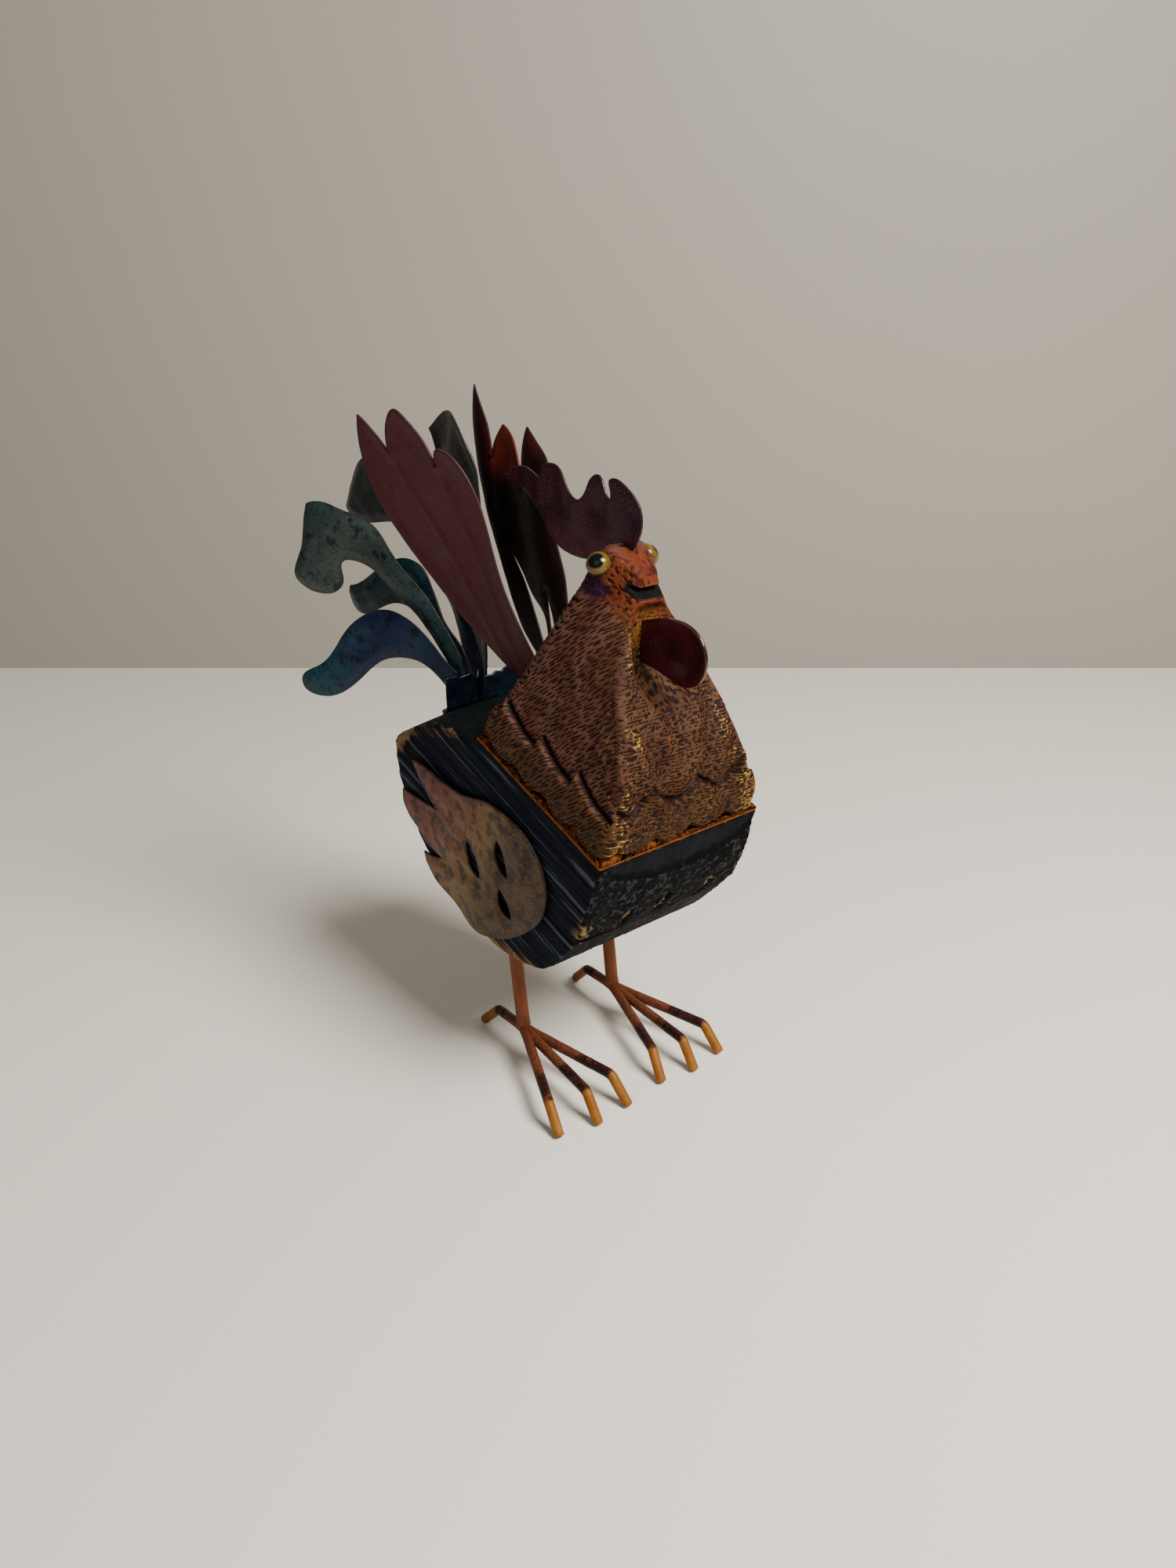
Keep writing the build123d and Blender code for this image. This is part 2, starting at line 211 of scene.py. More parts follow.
def outline_normals(loop):
    """Outward direction at each point of a closed counter-clockwise outline."""
    tangent = np.roll(loop, -1, 0) - np.roll(loop, 1, 0)
    normal = np.stack([tangent[:, 1], -tangent[:, 0]], -1)
    return normal / np.maximum(np.linalg.norm(normal, axis=1, keepdims=True), 1e-9)


def inside(points, loops):
    """Which points lie inside the loops, by the even-odd rule."""
    found = np.zeros(len(points), bool)
    for loop in loops:
        following = np.roll(loop, -1, 0)
        for (ax, ay), (bx, by) in zip(loop, following):
            crosses = (ay > points[:, 1]) != (by > points[:, 1])
            slope = (bx - ax) / (by - ay) if by != ay else 0
            found ^= crosses & (points[:, 0] < ax + (points[:, 1] - ay) * slope)
    return found


def clear_of(points, loops, gap):
    """Which points keep that gap from every loop's points."""
    rim = np.vstack(loops)
    keep = np.ones(len(points), bool)
    for first in range(0, len(points), 4000):
        block = points[first:first + 4000]
        distance = np.linalg.norm(block[:, None] - rim[None], axis=2).min(1)
        keep[first:first + 4000] = distance > gap
    return keep


def fill(loops, lattice):
    """Triangles over the area inside loops, with the lattice's points in it."""
    edges, start = [], 0
    for loop in loops:
        count = len(loop)
        edges += [(start + k, start + (k + 1) % count) for k in range(count)]
        start += count
    flat = np.vstack(list(loops) + [lattice])
    result = delaunay_2d_cdt([Vector(p) for p in flat.tolist()], edges, [], 0, 1e-5)
    points = np.array([list(p) for p in result[0]])
    faces = np.array([list(face) for face in result[2]])
    a, b, c = (points[faces[:, k]] for k in range(3))
    area = (b - a)[:, 0] * (c - a)[:, 1] - (b - a)[:, 1] * (c - a)[:, 0]
    kept = inside(points[faces].mean(1), loops) & (np.abs(area) > 0.02)
    return points, faces[kept].tolist()


# ---- Materials ----
class Paint:
    """A node material built a step at a time; a colour or number may be a socket or a value."""

    def __init__(self, name, **finish):
        self.material = bpy.data.materials.new(name)
        self.material.use_nodes = True
        self.tree = self.material.node_tree
        self.shader = self.tree.nodes["Principled BSDF"]
        for socket, value in finish.items():
            self.shader.inputs[socket.replace("_", " ")].default_value = value
        self.place = self.mask("place")

    def put(self, socket, value):
        if isinstance(value, bpy.types.NodeSocket):
            self.tree.links.new(value, socket)
        elif isinstance(value, tuple) and len(value) == 3 and socket.type == "RGBA":
            socket.default_value = value + (1,)
        else:
            socket.default_value = value

    def node(self, kind, settings=None, **inputs):
        made = self.tree.nodes.new("ShaderNode" + kind)
        for key, value in (settings or {}).items():
            setattr(made, key, value)
        for key, value in inputs.items():
            self.put(made.inputs[key.replace("_", " ")], value)
        return made

    def mask(self, name):
        """A per-vertex number, or the place in millimetres when asked for "place"."""
        made = self.node("Attribute", {"attribute_name": name})
        return made.outputs["Vector" if name == "place" else "Fac"]

    def math(self, operation, a, b=0.5):
        made = self.node("Math", {"operation": operation, "use_clamp": False})
        self.put(made.inputs[0], a)
        self.put(made.inputs[1], b)
        return made.outputs[0]

    def noise(self, size, detail=3.0, stretch=(1, 1, 1), turn=0.0, rough=0.6):
        """Noise whose blobs are about size millimetres, stretched and turned about z."""
        where = self.place
        if turn:
            turned = self.node("VectorRotate", {"rotation_type": "Z_AXIS"}, Vector=where,
                               Angle=radians(turn))
            where = turned.outputs[0]
        scaled = self.node("Mapping", Vector=where, Scale=tuple(1 / (size * s) for s in stretch))
        made = self.node("TexNoise", Vector=scaled.outputs[0], Scale=1.0, Detail=detail,
                         Roughness=rough)
        return made.outputs["Fac"]

    def step(self, value, low, high):
        """Smooth step of a socket from 0 at low to 1 at high."""
        made = self.node("MapRange", {"interpolation_type": "SMOOTHSTEP"})
        self.put(made.inputs["Value"], value)
        self.put(made.inputs["From Min"], low)
        self.put(made.inputs["From Max"], high)
        return made.outputs[0]

    def mix(self, amount, a, b):
        made = self.node("Mix", {"data_type": "RGBA"})
        self.put(made.inputs[0], amount)
        self.put(made.inputs[6], a)
        self.put(made.inputs[7], b)
        return made.outputs[2]

    def stops(self, value, stops):
        """Colour ramp: stops are (position, colour)."""
        made = self.node("ValToRGB")
        ramp_points = made.color_ramp.elements
        while len(ramp_points) < len(stops):
            ramp_points.new(0.5)
        for point, (position, colour) in zip(ramp_points, stops):
            point.position = position
            point.color = colour + (1,)
        self.put(made.inputs[0], value)
        return made.outputs[0]

    def finish(self, colour, roughness=None, height=None, depth=0.2, metallic=None):
        """Connects colour, roughness, metal and a bump whose full height is depth in mm."""
        self.put(self.shader.inputs["Base Color"], colour)
        if roughness is not None:
            self.put(self.shader.inputs["Roughness"], roughness)
        if metallic is not None:
            self.put(self.shader.inputs["Metallic"], metallic)
        if height is not None:
            made = self.node("Bump", Height=height, Distance=depth * MM)
            self.put(self.shader.inputs["Normal"], made.outputs[0])
        return self.material


def block_paint():
    """Blue-black stain over brushed grain, with painted highlights on the grain's ridge tops and painted
    shade in the grooves, worn to tan at the edges.
    """
    p = Paint("body_wood", Specular_IOR_Level=0.07)
    grain = p.noise(0.9, 3, (30, 1, 1.4))
    grit = p.noise(0.7, 2)
    cloud = p.noise(14, 3, (2, 1, 1))
    # Painted light: high ridge values turn the side grain blue-grey as painted highlights, and the groove
    # and the line under the crescent, low in ridge, get painted shade.
    height = p.math("ADD", p.mask("ridge"), p.math("MULTIPLY", grain, 0.5))
    stain_with_painted_light = p.stops(height, [(0.42, (0.001, 0.0012, 0.0025)), (0.66, (0.0035, 0.005, 0.011)),
                             (0.86, (0.007, 0.010, 0.019)), (0.94, (0.052, 0.062, 0.084))])
    stain_with_painted_light = p.mix(p.math("MULTIPLY", p.step(cloud, 0.5, 0.8), 0.3), stain_with_painted_light, (0.010, 0.021, 0.026))
    # The end grain's lightest stop is a painted highlight on its raised stipple.
    end_height = p.math("ADD", p.mask("ridge"), p.math("MULTIPLY", grit, 0.45))
    end = p.stops(end_height, [(0.6, (0.0002, 0.0002, 0.0003)), (0.8, (0.0012, 0.0014, 0.0017)),
                               (1.0, (0.022, 0.025, 0.030))])
    smooth = p.stops(p.noise(6, 3, (3, 1, 1)), [(0.3, (0.002, 0.003, 0.004)),
                                                (0.8, (0.008, 0.012, 0.014))])
    colour = p.mix(p.mask("end_grain"), stain_with_painted_light, end)
    colour = p.mix(p.mask("planed"), colour, smooth)
    tan = p.stops(grit, [(0.3, (0.06, 0.03, 0.012)), (0.75, (0.33, 0.21, 0.10))])
    worn = p.step(p.math("ADD", p.mask("worn"), p.math("MULTIPLY", height, 0.55)), 0.86, 1.12)
    colour = p.mix(worn, colour, tan)
    fine = p.math("ADD", grain, p.math("MULTIPLY", grit, 0.5))
    return p.finish(colour, p.stops(cloud, [(0.3, (0.65,) * 3), (0.7, (0.85,) * 3)]), fine, 0.45)


def neck_paint():
    """Mauve-brown and gold over dark gouge marks, with an orange face and foot; the carved line above the
    band is darkened as painted shade, and the throat slope is lightened to golden orange as a painted
    highlight.
    """
    p = Paint("neck_wood", Specular_IOR_Level=0.08)
    carve = p.mask("carve")
    grit = p.noise(0.5, 3)
    cloud = p.noise(9, 3)
    threads = p.noise(0.8, 3, (3.4, 1, 1.5), -40)
    depth = p.math("ADD", carve, p.math("MULTIPLY", p.math("SUBTRACT", grit, 0.5), 0.55))
    mauve = p.mix(p.step(cloud, 0.35, 0.65), (0.074, 0.028, 0.020), (0.112, 0.052, 0.040))
    ochre = p.mix(p.step(cloud, 0.35, 0.7), (0.046, 0.018, 0.007), (0.075, 0.034, 0.013))
    orange = p.mix(p.step(cloud, 0.3, 0.7), (0.078, 0.012, 0.004), (0.125, 0.032, 0.010))
    colour = p.mix(p.mask("front"), mauve, ochre)
    # Painted highlight: the slope of the throat hollow is lightened to golden orange as if lit.
    colour = p.mix(p.mask("throat"), colour, (0.15, 0.055, 0.011))
    colour = p.mix(p.mask("face"), colour, orange)
    spots = p.step(p.noise(5.5, 2), 0.66, 0.74)
    colour = p.mix(p.math("MULTIPLY", spots, 0.45), colour, (0.19, 0.045, 0.010))
    dark = p.mix(p.mask("face"), (0.012, 0.0042, 0.0028), (0.040, 0.006, 0.004))
    # The carve mask also darkens the carved line above the band, as painted shade in that groove.
    colour = p.mix(p.step(depth, 0.30, 0.62), colour, dark)
    high = p.math("SUBTRACT", p.math("ADD", p.mask("gold"), p.math("MULTIPLY", threads, 1.1)),
                  p.math("ADD", carve, 0.92))
    colour = p.mix(p.step(high, 0.0, 0.36), colour, (0.42, 0.26, 0.05))
    colour = p.mix(p.mask("bruise"), colour, (0.016, 0.004, 0.017))
    foot = p.stops(p.noise(3, 3), [(0.35, (0.085, 0.022, 0.004)), (0.6, (0.22, 0.060, 0.010))])
    colour = p.mix(p.mask("foot"), colour, foot)
    colour = p.mix(p.mask("mouth"), colour, p.stops(grit, [(0.45, (0.001, 0.0007, 0.0008)),
                                                           (1.0, (0.006, 0.004, 0.005))]))
    return p.finish(colour, p.stops(cloud, [(0.3, (0.42,) * 3), (0.7, (0.6,) * 3)]), grit, 0.22)


def patina(name, stops, tone_noise=0.35, blob=12, speckle=None, blotch=None, rough=(0.28, 0.5),
           coat=0.0, metal=0.5):
    """Heat colours on sheet copper: stops run over the tone mask, broken up by noise.
    speckle and blotch are (colour, share of the surface, size in mm)."""
    p = Paint(name, Coat_Weight=coat, Coat_Roughness=0.08, Specular_IOR_Level=0.18)
    cloud = p.noise(blob, 4)
    fine = p.noise(0.9, 3)
    shift = p.math("MULTIPLY", p.math("SUBTRACT", cloud, 0.5), tone_noise * 2)
    colour = p.stops(p.math("ADD", p.mask("tone"), shift), stops)
    if blotch:
        tint, share, size = blotch
        cover = p.step(p.noise(size, 3), 0.66 - share, 0.78 - share)
        colour = p.mix(p.math("MULTIPLY", cover, 0.75), colour, tint)
    if speckle:
        tint, share, size = speckle
        dots = p.math("MULTIPLY", p.step(p.noise(size, 2), 0.66 - share, 0.74 - share),
                      p.mask("speckled"))
        colour = p.mix(p.math("MULTIPLY", dots, 0.8), colour, tint)
    for index, tint in enumerate(((0.006, 0.012, 0.040), (0.004, 0.007, 0.006))):
        colour = p.mix(p.mask("dot_" + str(index)), colour, tint)
    colour = p.mix(p.mask("rim"), colour, (0.02, 0.012, 0.012))
    rough_map = p.node("MapRange", Value=cloud, From_Min=0.3, From_Max=0.7, To_Min=rough[0],
                       To_Max=rough[1])
    height = p.math("ADD", fine, p.math("MULTIPLY", p.noise(5, 2), 3))
    return p.finish(colour, rough_map.outputs[0], height, 0.12, metal)


def plain_paint(name, colour, colour_2, size, roughness):
    material = bpy.data.materials.new(name)
    material.use_nodes = True
    tree = material.node_tree
    where = tree.nodes.new("ShaderNodeTexCoord")
    texture = tree.nodes.new("ShaderNodeTexNoise")
    texture.inputs["Scale"].default_value = 1 / size
    mixed = tree.nodes.new("ShaderNodeMix")
    mixed.data_type = "RGBA"
    mixed.inputs[6].default_value = colour + (1,)
    mixed.inputs[7].default_value = colour_2 + (1,)
    tree.links.new(where.outputs["Object"], texture.inputs["Vector"])
    tree.links.new(texture.outputs["Fac"], mixed.inputs[0])
    shader = tree.nodes["Principled BSDF"]
    tree.links.new(mixed.outputs[2], shader.inputs["Base Color"])
    shader.inputs["Roughness"].default_value = roughness
    return material


# ---- Body block ----
def block_profile(x):
    """The block's closed outline at x as (u, v): belly, front, seat, back, rear, then turned
    to run counter-clockwise."""
    crown = BACK_CROWN * (1 - (x / HALF) ** 2)
    swell = 1.2 * x / HALF
    runs = (
        ([(141, -50.6), (130, -66.4), (104, -83), (73.7, -89.5), (50.7, -90.5), (28, -83),
          (12, -71.6), (4.8, -57.5), (-0.6, -43)], 130),
        ([(-0.6, -43), (-1.6 - swell, -34), (-1.8 - swell, -18), (0, 0)], 62),
        ([(0, 0), (SEAT_LENGTH, 0)], 30),
        ([(SEAT_LENGTH, 0), (102 + crown * 0.4, -8 + crown * 0.7),
          (122 + crown * 0.6, -19 + crown * 0.8), (140 + crown * 0.7, -38 + crown * 0.7)], 60),
        ([(140 + crown * 0.7, -38 + crown * 0.7), (143.4 + crown * 0.4, -44), (141, -50.6)], 14),
    )
    parts = [resample(spline(points, 0.5), count)[:-1] for points, count in runs]
    return np.vstack(parts)[::-1]


def block_masks(u, v, x, end, on_side):
    """Displacement and paint masks of the block at points; end is 1 on the front face and
    on_side is 1 on the flat sides."""
    wave = v + 0.6 * noise(u, v, x, (22, 6, 9), 9)
    grain = noise(u, wave, x, (34, 0.95, 1.1), 3)
    streak = noise(u, wave, x, (70, 2.1, 2.6), 4)
    side_ridge = 0.65 * grain + 0.35 * streak
    stipple = noise(u, v, x, (1.5, 1.25, 1.35), 5)
    coarse = noise(u, v, x, (5, 4, 4), 6)
    arc = -14.5 * np.sqrt(np.clip(1 - ((x - 3) / 43) ** 2, 0, 1))
    crescent = end * ramp(v, arc - 0.35, arc + 0.35) * (v < 1)
    under_arc = end * bump(v, arc - 0.2, 0.7)
    line = -43.3 + 3.4 * (x / HALF) ** 2 + x * 0.02
    groove = np.maximum(end * bump(v, line, 0.7), 0.8 * under_arc)
    bevel = end * ramp(-v, -line, 4 - line)
    notch = 0
    for centre, top in ((-18.5, -33), (1.2, -31.4), (27, -31.3)):
        lean = centre + (v + 37) * 0.36
        notch = notch + bump(x, lean, 1.7) * ramp(v, -42.5, -40) * (1 - ramp(v, top - 1, top + 0.5))
    notch = end * notch
    back = (1 - end) * (1 - on_side) * ramp(v, -40, -34) * ramp(u, 80, 90)
    rough = np.where(end > 0.5, stipple, side_ridge)
    depth = on_side * 1.0 + (1 - on_side) * (end * 0.8 + (1 - end) * 0.6)
    planed = np.clip(back + crescent * 0.85 + bevel * 0.35, 0, 1)
    push = depth * (rough - 0.6) * (1 - 0.8 * planed) + 0.5 * (coarse - 0.5) * (1 - planed)
    push = push - 1.5 * crescent - 1.3 * groove - 0.5 * bevel - 1.5 * notch
    front_corner = bump(u, 0, 9) * bump(v, -37, 13) * ramp(-x, 30, 44)
    lower_edge = ramp(-v - u * 0.35, 55, 76) * bump(np.abs(x), HALF, 9)
    upper_edge = ramp(u, 84, 100) * ramp(v - (-8 - (u - 102) * 0.72), -9, -3) * ramp(np.abs(x), 38, 44)
    rear_corner = bump(u, 140, 9) * bump(v, -42, 10) * ramp(np.abs(x), 30, 44)
    worn = np.clip(0.62 * front_corner + 0.75 * lower_edge + 0.5 * upper_edge + 0.8 * rear_corner, 0, 1)
    worn = np.clip(worn + 0.95 * np.clip(notch * 1.6 - 0.5, 0, 1), 0, 1)
    # ridge is lowered along the groove and under the crescent, which paints shade into them; its high
    # values give the painted highlights on the grain.
    ridge = np.clip(rough - 0.5 * groove, 0, 1)
    return push, {"ridge": ridge, "end_grain": end * (1 - on_side), "planed": planed, "worn": worn}


def body_block():
    turn = radians(90)
    edge = 2.0
    curve = [HALF - edge + edge * sin(turn * k / 4) for k in range(4)]
    flat = np.linspace(-(HALF - edge), HALF - edge, 112)
    stations = [-x for x in curve[:0:-1]] + list(flat) + curve[1:]
    stations = [-HALF] + stations + [HALF]
    rings = []
    for x in stations:
        loop = block_profile(x)
        over = max(0, abs(x) - (HALF - edge)) / edge
        inset = edge * (1 - np.sqrt(max(0, 1 - over * over)))
        near_seat = ramp(loop[:, 1], -6, -1) * (loop[:, 0] < SEAT_LENGTH + 8)
        rings.append(loop - outline_normals(loop) * (inset * (1 - 0.75 * near_seat))[:, None])
    count = len(rings[0])
    u = np.concatenate([ring[:, 0] for ring in rings])
    v = np.concatenate([ring[:, 1] for ring in rings])
    x = np.repeat(stations, count)
    faces = ring_faces(len(rings), count).tolist()
    on_side = np.zeros(len(u))
    total = len(u)
    for side, ring_at in ((-1, 0), (1, len(rings) - 1)):
        loop = rings[ring_at]
        low, high = loop.min(0), loop.max(0)
        lattice = np.stack(np.meshgrid(np.arange(low[0], high[0], 1.9),
                                       np.arange(low[1], high[1], 0.4)), -1).reshape(-1, 2)
        lattice = lattice[inside(lattice, [loop])]
        lattice = lattice[clear_of(lattice, [loop], 0.4)]
        flat_points, triangles = fill([loop], lattice)
        own = np.arange(ring_at * count, (ring_at + 1) * count)
        index = np.concatenate([own, total + np.arange(len(flat_points) - count)])
        new = flat_points[count:]
        u, v = np.concatenate([u, new[:, 0]]), np.concatenate([v, new[:, 1]])
        x = np.concatenate([x, np.full(len(new), side * HALF)])
        on_side = np.concatenate([on_side, np.ones(len(new))])
        on_side[own] = 1
        total = len(u)
        for a, b, c in triangles:
            order = (a, b, c) if side > 0 else (a, c, b)
            faces.append([int(index[k]) for k in order])
    points = from_seat(u, v, x)
    thirds = np.array([face[:3] for face in faces])
    normals = vertex_normals(points, thirds)
    end = ramp(-(normals @ array(0, cos(TILT), sin(TILT))), 0.6, 0.85) * (1 - on_side)
    push, masks = block_masks(u, v, x, end, on_side)
    under_foot = ramp(v, -0.7, -0.1) * (1 - ramp(u, SEAT_LENGTH, SEAT_LENGTH + 3))
    points = points + normals * np.minimum(push * (1 - under_foot), 0.25)[:, None]
    masks["place"] = np.stack([u, v, x], -1)
    return add_piece("brushed_block", points, faces, block_paint(), ["body_block"], masks)


# ---- Neck and head ----
NECK_SECTIONS = (  # height above the seat, front, rear, half width in front, behind, corner
    (0, 3.6, 85.0, 41.2, 41.2, 3), (13.7, 4.2, 85.0, 40.6, 40.6, 3), (24.2, 7.9, 84.3, 36.1, 36.1, 4),
    (34, 13.8, 83, 32.7, 32.7, 4), (42.5, 21.7, 82.2, 29.7, 29.7, 4), (53, 32.5, 81.2, 25.2, 26.1, 4),
    (61, 40.3, 80.4, 20.8, 23.4, 4), (68, 44.8, 79.9, 15.4, 21, 4), (76, 50, 79.4, 8.2, 18, 4),
    (84, 55, 79.6, 5.4, 15.6, 4), (90, 57.5, 79.6, 5.6, 13.6, 3.4), (93, 60.5, 78.4, 5.4, 10.5, 3),
)
HEAD_TOP = 93.0
LOBE = 20.0  # length of one lobe of the band
RING_COUNTS = {"side": 146, "front": 112, "rear": 36, "corner": 5}
RING_STEP = 0.45
BROW_SLOPE = 0.25  # fall of the head's top towards the beak
MOUTH_BACK, MOUTH_V = 60.8, 85.6  # inner corner of the open beak


def neck_ring(front, rear, front_half, rear_half, corner):
    """Rounded section as (x, u) with the same number of points at every height."""
    corners = array((-front_half, front), (front_half, front), (rear_half, rear), (-rear_half, rear))
    counts = [RING_COUNTS[k] for k in ("front", "side", "rear", "side")]
    ring = []
    for k in range(4):
        before, here, after = corners[k - 1], corners[k], corners[(k + 1) % 4]
        to_here = (here - before) / np.linalg.norm(here - before)
        away = (after - here) / np.linalg.norm(after - here)
        reach = corner * np.tan(np.arccos(np.clip(to_here @ away, -1, 1)) / 2)
        start, end = here - to_here * reach, here + away * reach
        t = np.linspace(0, 1, RING_COUNTS["corner"] + 1)[:-1, None]
        ring.append((1 - t) ** 2 * start + 2 * t * (1 - t) * here + t ** 2 * end)
        away_next = corners[(k + 2) % 4] - after
        away_next = away_next / np.linalg.norm(away_next)
        reach_next = corner * np.tan(np.arccos(np.clip(away @ away_next, -1, 1)) / 2)
        stop = after - away * reach_next
        t = np.linspace(0, 1, counts[k] + 1)[:-1, None]
        ring.append(end + (stop - end) * t)
    return np.vstack(ring)


def neck_shape():
    """Heights, a section for each, and a mask of where the mouth cuts the beak back."""
    heights = np.concatenate([[0, 0.6, 1.2, 1.8, PLINTH], np.arange(PLINTH + 0.3, HEAD_TOP, RING_STEP)])
    table = np.array(NECK_SECTIONS)
    even = np.arange(0, HEAD_TOP + 0.1, 0.25)
    values = []
    for column in range(1, 6):
        curve = smoothed(np.interp(even, table[:, 0], table[:, column]), 8)
        values.append(np.interp(heights, even, curve))
    front, rear, front_half, rear_half, corner = values
    gape = 12 * np.abs(heights - MOUTH_V) / np.where(heights > MOUTH_V, 15, 6)
    cut = MOUTH_BACK - gape
    cut_front = np.maximum(front, cut)
    share = (cut_front - front) / (rear - front)
    cut_half = front_half + (rear_half - front_half) * share
    foot = heights <= PLINTH
    cut_front[foot], rear[foot], corner[foot] = 0.3, SEAT_LENGTH, 1
    cut_half[foot] = rear_half[foot] = HALF - 0.1
    mouth = ramp(cut_front - front, 0.1, 0.8)
    return heights, np.stack([cut_front, rear, cut_half, rear_half, corner], -1), mouth


def flecks(a, b, long, short, seed):
    """Distance to the nearest of scattered marks that are long by short and staggered."""
    a, b = a / long, b / short
    nearest = np.full(np.shape(a), 9.0)
    for step_a, step_b in product((-1, 0, 1), repeat=2):
        cell_a, cell_b = np.floor(a) + step_a, np.floor(b) + step_b
        cells = np.stack([cell_a, cell_b, 0 * cell_a], -1)
        at_a = cell_a + 0.15 + 0.7 * hash_cells(cells, seed) + 0.5 * (cell_b % 2)
        at_b = cell_b + 0.25 + 0.5 * hash_cells(cells, seed + 1)
        nearest = np.minimum(nearest, np.hypot(0.62 * (a - at_a), 1.1 * (b - at_b)))
    return nearest


def lobes(distance, offset):
    """0 at the points between lobes and 1 at the middle of each."""
    phase = ((distance - offset) / LOBE) % 1
    return np.sqrt(np.clip(1 - (2 * phase - 1) ** 2, 0, 1))


def neck_marks(x, u, v, normals):
    """Masks and displacement of the carving, from place and surface direction."""
    ahead = -(normals @ array(0, cos(TILT), sin(TILT)))
    front = np.maximum(ramp(ahead, 0.35, 0.75), ramp(bump(x, 0, 13) * (u < 60), 0.3, 0.5))
    rear = ramp(-ahead, 0.35, 0.75)
    above = ramp(v, 91, 93)
    around = np.where(front + rear > 0.5, x, u)
    offset = np.where(front + rear > 0.5, 4.5, 1.6)
    puff = lobes(around, offset)
    low_edge = 6.6 - 4.9 * puff - 0.3 * front
    hook = ((around - np.where(front > 0.5, -18, 7.5)) / 24.5) % 1
    hook = np.where(front > 0.5, np.abs(2 * hook - 1), hook)
    high_edge = 16.2 + 4.8 * hook ** 2 + front * (2.5 * hook + 1.5)
    band = ramp(v, low_edge - 0.4, low_edge + 0.6) * (1 - ramp(v, high_edge - 0.8, high_edge + 0.8))
    band = band * (v > PLINTH + 0.1)
    carved_line = bump(v, high_edge + 1.0, 1.3) * (v > PLINTH)
    low_part = 1 - ramp(v, 8, 16)
    push = band * (1.9 + (1.5 * puff - 0.7) * low_part) - 1.5 * carved_line
    push = push + 0.5 * (noise(x, u, v, (11, 9, 9), 11) - 0.5) * (v > PLINTH)
    flute_lean = (v - 20) * 0.42
    flutes = np.cos((x - np.sign(x) * flute_lean) / 15.5 * 2 * pi)
    flutes = flutes * front * ramp(v, 10, 22) * (1 - ramp(v, 44, 60))
    push = push + 1.1 * flutes
    chest = bump(v, 42, 7) * bump(x, 0, 15) * front
    valley = ramp(v, 46, 56) * (1 - ramp(v, 80, 86)) * bump(x, 0, 8) * front
    push = push + 0.9 * chest
    turn = radians(56)
    level = np.where(rear > 0.5, x, u)
    stroke = -level * cos(turn) + v * sin(turn)
    across = level * sin(turn) + v * cos(turn)
    bent = across + 1.1 * (noise(stroke, across, x, (9, 7, 9), 13) - 0.5)
    side_carve = ramp(flecks(stroke, bent, 4.2, 1.4, 12), 0.38, 0.17)
    side_carve = side_carve * (0.55 + 0.45 * noise(stroke, across, x, (3, 2, 3), 18))
    stipple = flecks(x, v + 0.3 * u, 1.6, 1.3, 14)
    front_carve = ramp(stipple + 0.4 * (noise(x, u, v, (1.1, 1.1, 0.9), 15) - 0.5), 0.42, 0.16)
    face = ramp(v + 0.12 * (60 - u), 72, 79) * ramp(u, 90 - v * 0.1, 70)
    face = face * ramp(76 - u, -3, 6)
    face_carve = ramp(noise(x, u, v, (1.5, 1.5, 0.9), 16), 0.52, 0.3) * 0.8
    carve = side_carve * (1 - front) + front_carve * front
    carve = carve * (1 - face) + face_carve * face
    carve = np.where(v <= PLINTH, 0.0, carve) * (1 - 0.35 * valley * ramp(v, 60, 68))
    push = push - 0.6 * carve
    ridge = front * ramp(np.abs(x) / np.maximum(44 - 0.42 * v, 6), 0.62, 0.9)
    near_front = ramp(u, 34 + 0.55 * v, 6 + 0.55 * v) * (1 - front)
    golden = 0.05 + 0.16 * front + 0.26 * ridge + 0.24 * near_front + 0.08 * band
    golden = golden * (1 - face) * (0.45 + 1.1 * noise(x, u, v, (7, 7, 7), 17)) * (1 - 0.5 * above)
    high_side = ramp(v, 46, 66) * (1 - face)
    side_mix = np.clip(0.15 + 0.75 * front + 0.35 * near_front + 0.45 * band + 0.2 * high_side, 0, 1)
    spot = bump(np.abs(x), 14, 6) * bump(u, 72, 4.4) * bump(v, 78.5, 3.6)
    spot = spot * (0.6 + 0.8 * noise(x, u, v, (2, 2, 2), 19))
    masks = {
        # The carved line above the band joins the carve mask as painted shade in its groove.
        "carve": np.clip(carve + 0.75 * carved_line * (1 - front * 0.3), 0, 1),
        "front": side_mix, "face": face, "gold": golden,
        # Painted highlight on the slope of the throat hollow.
        "throat": np.clip(valley * 1.3, 0, 1) * ramp(v, 57, 70),
        "bruise": np.clip(spot * 2.2, 0, 1) * ramp(x, 4, -4) * 0.95,
        "foot": np.clip(1 - band * 2, 0, 1) * (v < 7) * (1 - ramp(v, low_edge, low_edge + 0.4)),
    }
    return push, masks


def throat_hollow(ring, v, middle):
    """The section with the hollow under the beak, a slanting round groove, pressed into it."""
    low, radius, slant = 60.6, 15, 0.32
    axis_u = 36.5 + (v - low) * slant
    reach = np.sqrt(max(0, radius ** 2 - max(0, low - v) ** 2))
    back = axis_u + np.sqrt(np.clip(reach ** 2 - ring[:, 0] ** 2, 0, None))
    use = (np.abs(ring[:, 0]) < reach) & (ring[:, 1] < middle)
    depth = back - ring[:, 1]
    softened = 0.5 * (depth + np.sqrt(depth ** 2 + 6)) - 0.5
    fade = (1 - ramp(v, 76, 82)) * ramp(v, 46, 54)
    ring[:, 1] = np.where(use, ring[:, 1] + np.maximum(softened, 0) * fade, ring[:, 1])
    return ring


